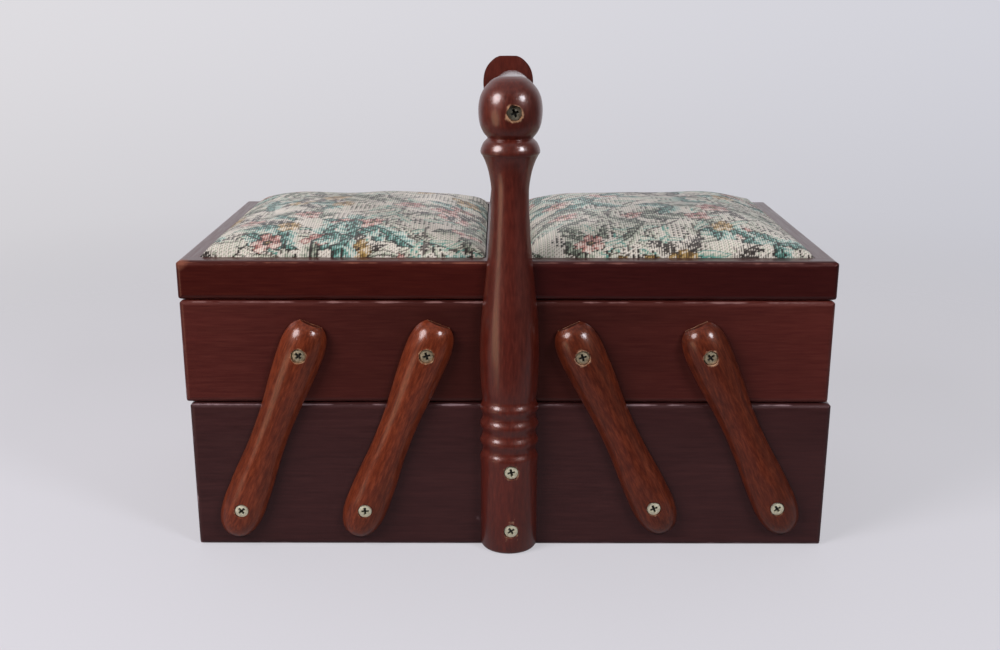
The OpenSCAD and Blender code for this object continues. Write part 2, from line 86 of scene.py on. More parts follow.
ARM_FLAT = 4.0
ARM_TIP, ARM_TIP_MIDDLE, ARM_TIP_WIDTH, ARM_TIP_POWER = -19.4, 2.6, 12.0, 2.4
ARM_OUTLINE = [
    (2.6, 12), (17.6, 11.4), (32.6, 10.3), (47.6, 9.9), (62.6, 10.4), (77.6, 11.6),
    (92.6, 12.35), (99, 12.35), (104, 11.8), (108, 10.7), (111, 8.9), (113.2, 6.5),
]
POST_FLAT = 3.3
POST_FOOT = [(0, 13.6), (0.5, 14.6), (2, 15.6), (18, 15.6), (35, 15.6), (49, 15.6), (51.8, 15.85)]
BEAD_FIRST, BEAD_PITCH, BEAD_COUNT = 54.3, 9.55, 3.5
BEAD_CREST, BEAD_GROOVE = 16.0, 14.5
POST_VASE = [
    (87.725, 14.5), (93, 15.25), (104, 15.85), (115, 16), (135, 15), (155, 12.9), (175, 11.1),
    (200.4, 9.9), (210, 11.1), (216, 12.9), (219.6, 14.6), (220.2, 15.1),
]
POST_COLLAR = [(220.9, 15.4), (221.6, 15.5), (223.6, 15.05), (226.2, 13.8), (228.2, 11.8)]
POST_BALL = [
    (228.7, 12), (231.2, 14), (235.5, 15.8), (242.5, 16.5), (248.5, 15.7), (252.8, 13.8),
    (256.4, 10.7), (258.2, 8.3), (259, 6.4),
]
POST_TOP = [(259.2, 5.8), (259.3, 0)]
HANDLE_END_R, HANDLE_MIDDLE_R = 7.6, 12.3
ARM_SEAT, POST_SEAT, HANDLE_SEAT = 6.2, 10.4, 9.4
WELL_R, SHANK_R = 3.95, 1.75
PIVOT_SHANK, POST_SHANK = 14, 17
HINGE_SHANK_R, HINGE_SHANK, HINGE_TURN_SPREAD = 0.8, 6, 1.2
HINGE_SCREW_Y = (-61.0, -43.0, 43.0, 61.0)
POST_SCREW_HEIGHTS = (14.0, 48.7)
POST_SCREW_SIDE = 1.15
HEAD_R, HEAD_TALL, HEAD_DOME = 3.6, 1.3, 0.6
ARM_WEAR_BELOW, ARM_WEAR_ABOVE, POST_WEAR, TORN_WEAR = 0.28, 0.42, 0.33, 0.55
WEAR_FADE, END_RIM = 1.3, 0.9
# An arm's end grain is darkened, partly stain drawn into it and partly painted shade; the rim by its
# flat is painted pale as a highlight.
END_GRAIN_STAIN_AND_SHADE, END_RIM_PAINTED_HIGHLIGHT = -0.6, 0.62
# Darkening of the screws in the balls: painted shade of their deep torn holes.
TORN_HOLE_SHADE = 0.86


def smooth_curve(points, steps):
    """Cubic curve through outline points."""
    def slope(i):
        a, b = max(i - 1, 0), min(i + 1, len(points) - 1)
        return (points[b][1] - points[a][1]) / (points[b][0] - points[a][0])

    out = []
    for i in range(len(points) - 1):
        (s0, w0), (s1, w1) = points[i], points[i + 1]
        h = s1 - s0
        for k in range(steps):
            t = k / steps
            w = ((2 * t**3 - 3 * t**2 + 1) * w0 + (t**3 - 2 * t**2 + t) * h * slope(i)
                 + (3 * t**2 - 2 * t**3) * w1 + (t**3 - t**2) * h * slope(i + 1))
            out.append((s0 + t * h, max(w, 0)))
    return out + [points[-1]]


def round_tip(steps):
    """Full, round lower end of an arm, up to its widest place."""
    out = []
    for k in range(steps):
        a = math.pi / 2 * k / steps
        down, across = math.cos(a)**(2 / ARM_TIP_POWER), math.sin(a)**(2 / ARM_TIP_POWER)
        out.append((ARM_TIP_MIDDLE - (ARM_TIP_MIDDLE - ARM_TIP) * down, ARM_TIP_WIDTH * across))
    return out


def beads(steps):
    """Soft round beads between grooves, as a wave that starts on a crest."""
    mean, swing = (BEAD_CREST + BEAD_GROOVE) / 2, (BEAD_CREST - BEAD_GROOVE) / 2
    return [(BEAD_FIRST + k / steps * BEAD_PITCH, mean + swing * math.cos(math.tau * k / steps))
            for k in range(round(BEAD_COUNT * steps))]


def arm_outline():
    return round_tip(18) + smooth_curve(ARM_OUTLINE, 8)


def post_outline():
    return (POST_FOOT + beads(14) + smooth_curve(POST_VASE, 7)
            + smooth_curve(POST_COLLAR, 4) + smooth_curve(POST_BALL, 5) + POST_TOP)


# Mesh helpers

def new_object(name, mesh):
    obj = bpy.data.objects.new(name, mesh)
    SCENE.collection.objects.link(obj)
    return obj


def finished_mesh(obj):
    """Plain mesh of an object with its modifiers applied."""
    graph = bpy.context.evaluated_depsgraph_get()
    graph.update()
    return bpy.data.meshes.new_from_object(obj.evaluated_get(graph), depsgraph=graph)


def mesh_of(name, vertices, faces):
    """Closed mesh with its faces turned outwards."""
    mesh = bpy.data.meshes.new(name)
    mesh.from_pydata([tuple(v) for v in vertices], [], faces)
    work = bmesh.new()
    work.from_mesh(mesh)
    bmesh.ops.recalc_face_normals(work, faces=work.faces)
    work.to_mesh(mesh)
    work.free()
    return mesh


def smooth_by_angle(mesh, degrees):
    mesh.polygons.foreach_set("use_smooth", [True] * len(mesh.polygons))
    mesh.set_sharp_from_angle(angle=math.radians(degrees))


def split_section(half_width, flat):
    """Section of a split turning: an arc at -Y, eased corners and the planed flat on y = 0."""
    arc_steps, most_ease = 44, 0.5
    radius = math.hypot(half_width, flat)
    ease = min(most_ease, half_width / 2)
    reach = math.atan2(half_width, flat) - ease / radius
    points = []
    for k in range(arc_steps + 1):
        a = reach * (2 * k / arc_steps - 1)
        points.append((radius * math.sin(a), flat - radius * math.cos(a)))
    corner = Vector((half_width, 0))
    start, end = Vector(points[-1]), Vector((half_width - ease, 0))
    eased = [(1 - t)**2 * start + 2 * t * (1 - t) * corner + t * t * end for t in (0.35, 0.7, 1)]
    points += [tuple(p) for p in eased]
    points += [(x * (half_width - ease), 0) for x in (0.5, 0, -0.5)]
    points += [(-p.x, p.y) for p in reversed(eased)]
    return points


def split_turned(name, outline, flat):
    """Split turning along +Z in mm, with its flat back on y = 0 and closed ends."""
    vertices, rings, faces = [], [], []
    for s, half_width in outline:
        first = len(vertices)
        if half_width < 0.05:
            vertices.append((0, 0, s))
            rings.append([first])
            continue
        section = split_section(half_width, flat)
        vertices += [(x, y, s) for x, y in section]
        rings.append(list(range(first, len(vertices))))
    for a, b in zip(rings, rings[1:]):
        n = max(len(a), len(b))
        for k in range(n):
            quad = [a[k % len(a)], a[(k + 1) % len(a)], b[(k + 1) % len(b)], b[k % len(b)]]
            faces.append(tuple(dict.fromkeys(quad)))
    faces += [tuple(ring) for ring in (rings[0], rings[-1]) if len(ring) > 1]
    return mesh_of(name, vertices, faces)


def lathe(name, profile, segments=64, wobble=0.0, seed=1):
    """Closed turning round +Z in mm from (radius, z) points; wobble makes it ragged."""
    rng = random.Random(seed)
    waves = [(k, rng.uniform(0, math.tau), rng.random()) for k in (2, 3, 5, 7)]
    vertices, faces = [], []
    for radius, z in profile:
        for k in range(segments):
            a = math.tau * k / segments
            ragged = sum(size * math.sin(n * a + phase + z) for n, phase, size in waves)
            r = radius * (1 + wobble * ragged)
            vertices.append((r * math.cos(a), r * math.sin(a), z))
    for row in range(len(profile) - 1):
        for k in range(segments):
            a, b = row * segments + k, row * segments + (k + 1) % segments
            faces.append((a, b, b + segments, a + segments))
    faces += [tuple(range(segments)), tuple(range(len(vertices) - segments, len(vertices)))]
    return mesh_of(name, vertices, faces)


def joined(name, meshes):
    """One mesh from several."""
    work = bmesh.new()
    for mesh in meshes:
        work.from_mesh(mesh)
    out = bpy.data.meshes.new(name)
    work.to_mesh(out)
    work.free()
    return out


def cut_away(mesh, cutters):
    """Mesh with the cutters' space taken off it."""
    obj = new_object("work_piece", mesh)
    tool = new_object("work_tool", joined("work_tool", cutters))
    cut = obj.modifiers.new("cut", "BOOLEAN")
    cut.operation, cut.solver, cut.object = "DIFFERENCE", "EXACT", tool
    out = finished_mesh(obj)
    bpy.data.objects.remove(obj)
    bpy.data.objects.remove(tool)
    return out


def well_cutter(x, z, seat, crest, seed, torn):
    """Screw hole in a split turning: a shank hole, a well down to the seat and a rim widened by wear.
    """
    profile = [
        (SHANK_R, -2), (SHANK_R, seat), (WELL_R, seat), (WELL_R, crest - 0.9),
        (WELL_R + 0.12, crest - 0.35), (WELL_R + 0.45, crest + 0.1), (WELL_R + 0.5, crest + 6),
    ]
    mesh = lathe("well", profile, wobble=torn, seed=seed)
    mesh.transform(Matrix.Translation((x, 0, z)) @ Matrix.Rotation(math.pi / 2, 4, "X"))
    return mesh


def crest_at(outline, s, flat):
    """How far the crest of a split turning stands off its flat at s."""
    width = np.interp(s, [p[0] for p in outline], [p[1] for p in outline])
    return math.hypot(width, flat) - flat


def add_attribute(mesh, name, kind, values):
    layer = mesh.attributes.new(name, kind, "POINT")
    key = "vector" if kind == "FLOAT_VECTOR" else "value"
    layer.data.foreach_set(key, np.asarray(values, np.float32).ravel())


def points_of(mesh):
    out = np.zeros(len(mesh.vertices) * 3)
    mesh.vertices.foreach_get("co", out)
    return out.reshape(-1, 3)


def placed_turning(name, mesh, matrix, scratches, body, node, material, offset, end=None):
    """A copy of a turning in its place: grain keeps its own axes, wear follows its holes, and the
    end grain is darker, partly stain drawn into it and partly painted shade, behind a rim painted
    pale as a highlight."""
    copy = mesh.copy()
    copy.name = name
    local = points_of(copy)
    wear = np.zeros(len(local))
    for x, z, strength in scratches:
        away = np.hypot(local[:, 0] - x, local[:, 2] - z) - WELL_R
        wear = np.maximum(wear, strength * np.exp(-np.clip(away, 0, None) / WEAR_FADE))
    # Painted shade, partly real stain, on the end grain; painted highlight on its rim by the flat.
    if end:
        last, rim = local[:, 2] > end - 0.05, local[:, 1] > -END_RIM
        wear[last] = END_GRAIN_STAIN_AND_SHADE
        wear[last & rim] = END_RIM_PAINTED_HIGHLIGHT
    add_attribute(copy, "grain", "FLOAT_VECTOR", local * MM + np.array(offset))
    add_attribute(copy, "wear", "FLOAT", wear)
    copy.transform(matrix @ Matrix.Scale(MM, 4))
    if matrix.determinant() < 0:
        copy.flip_normals()
    copy.materials.clear()
    copy.materials.append(material)
    smooth_by_angle(copy, 34)
    obj = new_object(name, copy)
    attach(obj, body)
    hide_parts(node)


# Node helpers

def linear(hex_colour):
    """Linear RGBA from an sRGB hex colour."""
    parts = [int(hex_colour[i:i + 2], 16) / 255 for i in (1, 3, 5)]
    return tuple(c / 12.92 if c <= 0.04045 else ((c + 0.055) / 1.055)**2.4 for c in parts) + (1,)


def add(tree, kind, inputs=None, stops=None, **settings):
    """Adds a node with its settings; inputs are values or the sockets that feed them."""
    node = tree.nodes.new(kind)
    for name, value in settings.items():
        setattr(node, name, value)
    for key, value in (inputs or {}).items():
        if isinstance(value, bpy.types.NodeSocket):
            tree.links.new(value, node.inputs[key])
        else:
            node.inputs[key].default_value = value
    if stops:
        marks = node.color_ramp.elements
        while len(marks) < len(stops):
            marks.new(1)
        for mark, (position, colour) in zip(marks, stops):
            mark.position, mark.color = position, colour
    return node


def new_material(name):
    material = bpy.data.materials.new(name)
    material.use_nodes = True
    material.node_tree.nodes.clear()
    return material, material.node_tree


BLACK, WHITE = (0, 0, 0, 1), (1, 1, 1, 1)
MIX_A, MIX_B, MIX_OUT = 6, 7, 2


def coordinate(tree, kind):
    return add(tree, "ShaderNodeTexCoord").outputs[kind]


def attribute(tree, name, output):
    return add(tree, "ShaderNodeAttribute", attribute_name=name).outputs[output]


def stretched(tree, vector, scale):
    return add(tree, "ShaderNodeMapping", {"Vector": vector, "Scale": scale}).outputs["Vector"]


def axes_of(tree, vector):
    return add(tree, "ShaderNodeSeparateXYZ", {"Vector": vector}).outputs


def noise(tree, place, scale, detail, **more):
    inputs = {"Vector": place, "Scale": scale, "Detail": detail, **more}
    return add(tree, "ShaderNodeTexNoise", inputs).outputs["Fac"]


def ramp(tree, value, stops):
    return add(tree, "ShaderNodeValToRGB", {"Fac": value}, stops=stops).outputs["Color"]


def maths(tree, operation, *terms):
    """Result of a maths node on values or sockets."""
    return add(tree, "ShaderNodeMath", dict(enumerate(terms)), operation=operation).outputs[0]


def span(tree, value, start, end, low=0.0, high=1.0, eased=False):
    """Goes from low to high while a value goes from start to end."""
    inputs = {"Value": value, "From Min": start, "From Max": end, "To Min": low, "To Max": high}
    kind = "SMOOTHSTEP" if eased else "LINEAR"
    return add(tree, "ShaderNodeMapRange", inputs, interpolation_type=kind).outputs["Result"]


def scaled(tree, colour, level):
    node = add(tree, "ShaderNodeVectorMath", {0: colour, "Scale": level}, operation="SCALE")
    return node.outputs["Vector"]


def blend(tree, share, first, second):
    """First colour where the share is 0, second where it is 1."""
    inputs = {0: share, MIX_A: first, MIX_B: second}
    return add(tree, "ShaderNodeMix", inputs, data_type="RGBA").outputs[MIX_OUT]


def mix_shaders(tree, share, first, second):
    return add(tree, "ShaderNodeMixShader", {0: share, 1: first, 2: second}).outputs[0]


def relief(tree, height, strength, depth_mm, invert=False, **more):
    """Normal of a surface that is bumped by a height."""
    inputs = {"Height": height, "Strength": strength, "Distance": depth_mm * MM, **more}
    return add(tree, "ShaderNodeBump", inputs, invert=invert).outputs["Normal"]


def principled(tree, inputs):
    """Principled shader with the given inputs as the material's surface."""
    shader = add(tree, "ShaderNodeBsdfPrincipled", inputs)
    add(tree, "ShaderNodeOutputMaterial", {"Surface": shader.outputs[0]})


# Wood

# Eased board edges are painted paler, partly as wear and partly as highlight, less on edges that face
# down.
EDGE_FACING, EDGE_WEAR_AND_HIGHLIGHT = (0.9, 0.74), 0.36
DOWNWARD_WEAR_AND_HIGHLIGHT, DOWN_TO_UP = 0.3, (-0.3, 0.2)
FOOT_HEIGHTS = (0.3 * MM, 2.4 * MM)
SCUFF_REACH, SCUFF_WEAR = (2 * MM, 17 * MM), 0.4
RUBBED_THROUGH = (0.78, 0.98)
CARRIER_END_X = 0.17


def mahogany(name, tones, along, *, gloss, specular, coat, glow, turned=False, figure=1.0,
             chips=None, painted_light_along_x=None, brushed=0.08, scuffed=None):
    """Mahogany, stained and brushed with semi-gloss lacquer: long fibres and open pores under
    a thin coat that carries the highlights, paler on its edges, partly by wear and partly as painted
    highlight. The fibres below reflect with a warm glow. A level given for the middle and the ends
    of the carrier paints shade in the middle and light towards the ends."""
    material, tree = new_material(name)
    place = attribute(tree, "grain", "Vector") if turned else coordinate(tree, "Object")
    scale = [1 / MM, 1 / MM, 1 / MM]
    scale["XYZ".index(along)] /= 6.0 if turned else 18.0
    grain = stretched(tree, place, scale)
    fibre_mm, band_mm, pore_mm, brush_mm = 1.1, 12.0, 0.42, 5.0
    fibre = noise(tree, grain, 1 / fibre_mm, 5.0, Roughness=0.62)
    band = noise(tree, grain, 1 / band_mm, 3.0, Distortion=0.6)
    pores = ramp(tree, noise(tree, grain, 1 / pore_mm, 2.0), [(0.60, BLACK), (0.70, WHITE)])
    brush = noise(tree, grain, 1 / brush_mm, 2.0)
    dark, mid, light, bare_and_edge_lit = (linear(tone) for tone in tones)
    fibres = ramp(tree, fibre,
                  [(0.5 - 0.15 / figure, dark), (0.5, mid), (0.5 + 0.16 / figure, light)])
    level = span(tree, band, 0.35, 0.65, 1 - 0.15 * figure, 1 + 0.15 * figure)
    # End grain of a turning darkened: partly stain drawn into it, partly painted shade.
    if turned:
        soaked_and_shaded = span(tree, attribute(tree, "wear", "Fac"), END_GRAIN_STAIN_AND_SHADE, 0.0, 0.3, 1.0)
        level = maths(tree, "MULTIPLY", level, soaked_and_shaded)
    # Painted light and shade along X: darker in the middle, lighter towards the ends.
    if painted_light_along_x:
        side = maths(tree, "ABSOLUTE", axes_of(tree, place)["X"])
        level = maths(tree, "MULTIPLY", level, span(tree, side, 0.0, CARRIER_END_X, *painted_light_along_x))
    toned = scaled(tree, fibres, level)
    pored = blend(tree, maths(tree, "MULTIPLY", pores, 0.5 * figure), toned, dark)
    # Paler where the lacquer is gone, and where edges and arm-end rims are painted as highlights.
    rubbed_and_lit = wear_and_highlight_mask(tree, place, turned, chips, scuffed)
    lacquer = relief(tree, brush, 0.5, brushed, Normal=relief(tree, pores, 0.5, 0.03, invert=True))
    rough = span(tree, fibre, 0.3, 0.7, gloss, gloss + 0.16)
    principled(tree, {
        "Base Color": blend(tree, rubbed_and_lit, pored, bare_and_edge_lit),
        "Roughness": maths(tree, "MULTIPLY_ADD", rubbed_and_lit, 0.25, rough), "IOR": 1.5,
        "Specular IOR Level": specular, "Specular Tint": linear(glow), "Coat Weight": coat,
        "Coat Roughness": 0.16, "Coat IOR": 1.5, "Normal": lacquer, "Coat Normal": lacquer,
    })
    return material


def edge_wear_and_highlight(tree):
    """Wear and painted highlight of a board: on the eased edges, which face between the axes, but
    little on edges that face down.
    """
    normal = coordinate(tree, "Normal")
    facing = add(tree, "ShaderNodeVectorMath", {0: normal}, operation="ABSOLUTE")
    x, y, z = axes_of(tree, facing.outputs["Vector"])
    most = maths(tree, "MAXIMUM", maths(tree, "MAXIMUM", x, y), z)
    edge = span(tree, most, *EDGE_FACING, 0.0, EDGE_WEAR_AND_HIGHLIGHT)
    upward = span(tree, axes_of(tree, normal)["Z"], *DOWN_TO_UP, DOWNWARD_WEAR_AND_HIGHLIGHT)
    return maths(tree, "MULTIPLY", edge, upward)


def wear_and_highlight_mask(tree, place, turned, chips, scuffed):
    """Where the wood shows paler: lacquer gone on sharp edges, round screw holes, at the feet and
    round one scuffed corner, and painted highlight on the eased edges and on the rims of arm ends."""
    if turned:
        patches = noise(tree, place, 260.0, 6.0, Roughness=0.7)
        source = attribute(tree, "wear", "Fac")
    else:
        patches = noise(tree, place, 90.0, 6.0)
        source = edge_wear_and_highlight(tree)
    if chips:
        foot = span(tree, axes_of(tree, place)["Z"], *FOOT_HEIGHTS, chips, 0.0)
        source = maths(tree, "MAXIMUM", source, foot)
    if scuffed:
        away = add(tree, "ShaderNodeVectorMath", {0: place, 1: scuffed}, operation="DISTANCE")
        near = span(tree, away.outputs["Value"], *SCUFF_REACH, SCUFF_WEAR, 0.0)
        source = maths(tree, "MAXIMUM", source, near)
    return span(tree, maths(tree, "ADD", patches, source), *RUBBED_THROUGH)


# Dark, middle and light fibres, and the paler bare wood, which also paints the edge highlights
BASE_TONES = ("#2b1312", "#351817", "#3e1e1b", "#80686a")
TRAY_TONES = ("#32100f", "#3d1713", "#481f19", "#7c5a56")
LID_TONES = ("#310b09", "#3c110d", "#471810", "#744434")
# Darker copy for the right lid: painted shade, as that side is less lit.
RIGHT_LID_SHADED_TONES = ("#290a0a", "#330e0d", "#3d1411", "#6c463e")
ARM_TONES = ("#4c190a", "#60240f", "#753219", "#b08a68")
# Darker copy for the right arms: painted shade, as that side is less lit.
RIGHT_ARM_SHADED_TONES = ("#3b1208", "#4e1b0c", "#622813", "#a88468")
POST_TONES = ("#3d0f08", "#4a140a", "#581c0f", "#a88060")


def plywood(name):
    """Birch ply with a rotary-cut face: pale, matt, with broad soft figure."""
    material, tree = new_material(name)
    flow = stretched(tree, coordinate(tree, "Object"), (90.0, 700.0, 700.0))
    figure_size, fibre_size = 6.0, 0.8
    figure = noise(tree, flow, 1 / figure_size, 4.0, Distortion=0.3)
    fibre = noise(tree, flow, 1 / fibre_size, 3.0)
    stops = [(0.36, linear("#8a6238")), (0.5, linear("#b08a58")), (0.66, linear("#c4a272"))]
    colour = scaled(tree, ramp(tree, figure, stops), span(tree, fibre, 0.0, 1.0, 0.75, 1.2))
    principled(tree, {"Base Color": colour, "Roughness": 0.7,
                     "Normal": relief(tree, fibre, 0.4, 0.08)})
    return material


def plated_metal(name, bright, dull, darkening, roughness):
    """Plated steel or brass, tumbled smooth: soft broad highlights, darker in its recesses."""
    material, tree = new_material(name)
    place = coordinate(tree, "Object")
    tarnish_per_m, scratch_per_m = 700.0, 5200.0
    tarnish = noise(tree, place, tarnish_per_m, 4.0)
    scratch = noise(tree, place, scratch_per_m, 2.0)
    tone = ramp(tree, tarnish, [(0.35, linear(dull)), (0.62, linear(bright))])
    darkened = attribute(tree, "darkening", "Fac")
    rough = span(tree, scratch, 0.0, 1.0, roughness - 0.1, roughness + 0.15)
    principled(tree, {
        "Base Color": blend(tree, darkened, tone, linear(darkening)),
        "Metallic": span(tree, darkened, 0.0, 1.0, 0.75, 0.0),
        "Roughness": maths(tree, "MULTIPLY_ADD", darkened, 0.35, rough),
        "Normal": relief(tree, scratch, 0.25, 0.02),
    })
    return material


# Tapestry cloth

RIB_MM, PICK_MM = 1.3, 0.56
# The second, darker cream is painted shade on the cushion's sides and underside.
CREAM, SHADED_CREAM = "#dbd3c4", "#bab4a6"
CHARCOAL, SMOKE, TAN = "#2f2924", "#5f584f", "#7c7062"
TEALS = ("#a6c4b9", "#5f9688", "#345a52")
SAGES = ("#b3b8a2", "#868e7c", "#5a6254")
ROSES = ("#cca598", "#a4655a", "#663e38")
OCHRES = ("#c0a472", "#907138", "#594427")


class Tapestry:
    """A woven verdure painted on a grid of ribs and picks: branches, leaves and flowers."""

    def __init__(self, s, t, seed):
        rib = np.arange(len(s)) // 2
        self.s, self.t = np.meshgrid((rib + 0.5) * RIB_MM, t)
        self.rib = np.meshgrid(rib, t)[0]
        self.odd = self.rib % 2 == 1
        self.in_groove = (np.arange(len(s)) % 2 == 0)[None, :]
        self.pick = np.arange(len(t))[:, None] + np.zeros_like(self.rib)
        self.rng = random.Random(seed)
        self.colour = np.zeros(self.s.shape + (3,))

    def fill(self, mask, hex_colour):
        self.colour[mask] = linear(hex_colour)[:3]

    def ground(self):
        """Cream ribs with a small dark tick between them, staggered from rib to rib."""
        self.fill(np.ones_like(self.odd), CREAM)
        tick = (self.pick + 2 * (self.rib % 2)) % 4 < 1
        self.fill(tick & self.in_groove, TAN)

    def wave(self, length_mm):
        """Slow seeded ripple over the cloth, about -1 to 1."""
        total = np.zeros_like(self.s)
        for _ in range(5):
            turn = self.rng.uniform(0, math.tau)
            size = length_mm * self.rng.uniform(0.7, 1.5)
            along = self.s * math.cos(turn) + self.t * math.sin(turn)
            total += np.sin(math.tau * along / size + self.rng.uniform(0, math.tau))
        return total / 3

    def hatching(self):
        """Clumps of dark ribs that shade the ground between the leaves."""
        for colour, limit, step in ((SAGES[0], -0.1, 2), (SMOKE, 0.3, 3), (CHARCOAL, 0.62, 4)):
            clump = self.wave(24) > limit
            broken = (self.pick + 3 * self.rib) % (step + 2) < step
            self.fill(clump & self.odd & broken, colour)

    def dithered(self, mask, shade, tones):
        """Fills a shape from its first tone to its last as shade goes from 0 to 1, in twill steps,
        darker between the ribs."""
        twill = ((self.pick - self.rib) % 4 + 0.5) / 4
        shade = np.clip(shade + np.where(self.in_groove, 0.3, -0.14), 0, 0.99)
        step = np.floor(shade * (len(tones) - 1) + twill).astype(int)
        for number, tone in enumerate(tones):
            self.fill(mask & (step == number), tone)

    def local(self, root, turn):
        """Distances along and across a direction from a root, on hand-drawn, uneven lines."""
        ds = self.s - root[0] + 0.8 * np.sin(self.t / 3.7)
        dt = self.t - root[1] + 0.8 * np.sin(self.s / 4.3)
        return (ds * math.cos(turn) + dt * math.sin(turn),
                dt * math.cos(turn) - ds * math.sin(turn))

    def blade(self, root, turn, length, bend, half_width):
        """Share of a leaf's length, offset from its bent midrib, half-width there, and inside."""
        along, across = self.local(root, turn)
        along = along / length
        across = across - bend * length * along**2
        a = np.clip(along, 0, 1)
        half = half_width(a) + 1e-6
        return a, across, half, (along > 0) & (along < 1) & (np.abs(across) < half)

    def leaf(self, root, turn, length, width, bend, tones):
        """Toothed leaf, shaded from its lit half to its dark half, veined and edged."""
        def half_width(a):
            return width / 2 * np.sin(math.pi * a**0.8)**0.8 * (1 + 0.22 * np.sin(a * 19))

        a, across, half, inside = self.blade(root, turn, length, bend, half_width)
        side = across / half
        veins = 0.22 * np.cos(30 * a - 5 * np.abs(side))
        self.dithered(inside, 0.44 - 0.4 * side + veins, (CREAM,) + tones + (CHARCOAL,))
        self.fill(inside & (np.abs(across) < 0.45), CHARCOAL)
        self.fill(inside & (side < -0.78) & ((self.pick + self.rib) % 4 > 0), CHARCOAL)

    def slim_leaf(self, root, turn, length, width, bend, colour):
        """Narrow leaf drawn as an outline with a few strokes inside."""
        def half_width(a):
            return width / 2 * np.sin(math.pi * a)**0.7

        _, across, half, inside = self.blade(root, turn, length, bend, half_width)
        self.dithered(inside, 0.3 - 0.5 * across / half, (CREAM, SAGES[0], colour))
        self.fill(inside & (np.abs(across) > half - 0.6), colour)

    def flower(self, centre, radius, petals, turn, tones):
        """Open flower: folded petals round a dotted eye."""
        ds, dt = self.local(centre, turn)
        rho, phi = np.hypot(ds, dt) / radius, np.arctan2(dt, ds)
        petal = np.abs(np.cos(petals * phi / 2))
        edge = 0.66 + 0.34 * petal**0.6 + 0.09 * np.sin(3 * phi + turn) + 0.05 * np.sin(13 * phi)
        inside = rho < edge
        folds = 0.18 * np.cos(11 * rho + 2 * np.cos(petals * phi))
        light = 0.2 * np.sin(phi + turn)
        self.dithered(inside, 0.95 - 0.75 * petal + folds + light, (CREAM,) + tones)
        self.dithered(rho < 0.26, rho * 4, (OCHRES[0], OCHRES[2], CHARCOAL))
        self.fill(inside & (rho > edge - 0.09) & ((self.pick + self.rib) % 4 > 0), tones[2])

    def along_stem(self, start, turn, length, bend, a):
        return (start[0] + length * (a * math.cos(turn) - bend * a * a * math.sin(turn)),
                start[1] + length * (a * math.sin(turn) + bend * a * a * math.cos(turn)))

    def stem(self, start, turn, length, bend, colour):
        steps = 40
        for k in range(steps):
            s, t = self.along_stem(start, turn, length, bend, k / steps)
            self.fill(np.hypot(self.s - s, self.t - t) < 0.8 - 0.25 * k / steps, colour)

    def twig(self, place):
        """Grey branch with narrow leaves to both sides."""
        rng = self.rng
        turn, bend = rng.uniform(0, math.tau), rng.uniform(-0.6, 0.6)
        length, colour = rng.uniform(40, 66), rng.choice((SMOKE, CHARCOAL, CHARCOAL))
        self.stem(place, turn, length, bend, colour)
        for k in range(8):
            root = self.along_stem(place, turn, length, bend, 0.12 + 0.11 * k)
            fan = turn + bend * 0.2 * k + (1 if k % 2 else -1) * rng.uniform(0.4, 0.9)
            self.slim_leaf(root, fan, rng.uniform(12, 20), rng.uniform(3.2, 5.2),
                           rng.uniform(-0.3, 0.3), rng.choice((colour, SMOKE, TEALS[1])))

    def sprig(self, place):
        """A few broad leaves, and often a flower among them."""
        rng = self.rng
        turn = rng.uniform(0, math.tau)
        greens = rng.choice((TEALS, SAGES, TEALS, SAGES, (CREAM, SMOKE, CHARCOAL)))
        for k in range(rng.randint(2, 3)):
            fan = turn + 1.5 * k + rng.uniform(-0.4, 0.4)
            self.leaf(place, fan, rng.uniform(16, 27), rng.uniform(8.5, 13.5),
                      rng.uniform(-0.3, 0.3), greens)
        if rng.random() < 0.5:
            tones = rng.choice((ROSES, OCHRES, OCHRES, (ROSES[0], ROSES[1], CHARCOAL)))
            self.flower(place, rng.uniform(6.5, 11), rng.choice((4, 5)), rng.uniform(0, 6), tones)

    def verdure(self):
        """Twigs, then sprigs on top, on a jittered net over the whole cloth."""
        cell = 18.5
        rows = range(int(self.t.min() // cell) - 1, int(self.t.max() // cell) + 2)
        columns = range(int(self.s.min() // cell) - 1, int(self.s.max() // cell) + 2)
        places = [((column + 0.5 * (row % 2) + self.rng.uniform(-0.4, 0.4)) * cell,
                   (row + self.rng.uniform(-0.4, 0.4)) * cell) for row in rows for column in columns]
        self.rng.shuffle(places)
        for number, place in enumerate(places):
            if number < len(places) * 0.5:
                self.twig(place)
            else:
                self.sprig(place)

    def woven(self):
        self.ground()
        self.hatching()
        self.verdure()
        return self.colour


def tapestry_cloth(name):
    """Weft-faced cotton tapestry: cords of soft yarn, matt, with a faint bloom of loose fibre."""
    material, tree = new_material(name)
    weave = add(tree, "ShaderNodeUVMap", uv_map="weave").outputs["UV"]
    across, along, _ = axes_of(tree, weave)
    # Painted shade: the grooves between the cords are darkened, down to 0.68 of the dye.
    groove_shade = maths(tree, "COSINE", maths(tree, "MULTIPLY", across, math.tau / (RIB_MM * MM)))
    picks = maths(tree, "SINE", maths(tree, "MULTIPLY", along, math.tau / (PICK_MM * MM)))
    slub = noise(tree, stretched(tree, weave, (1400.0, 2600.0, 1.0)), 1.0, 3.0)
    soil_mm = 22.0
    soil = noise(tree, weave, 1 / (soil_mm * MM), 3.0)
    level = span(tree, groove_shade, 0.1, 1.0, 1.0, 0.68)
    for value, low, high in ((slub, 0.78, 1.14), (soil, 0.84, 1.06)):
        level = maths(tree, "MULTIPLY", level, span(tree, value, 0.3, 0.7, low, high))
    raised = maths(tree, "MULTIPLY_ADD", picks, 0.35, slub)
    principled(tree, {
        "Base Color": scaled(tree, attribute(tree, "dye", "Color"), level), "Roughness": 0.92,
        "Specular IOR Level": 0.15, "Sheen Weight": 0.25, "Sheen Roughness": 0.55,
        "Normal": relief(tree, raised, 0.6, 0.12),
    })
    return material


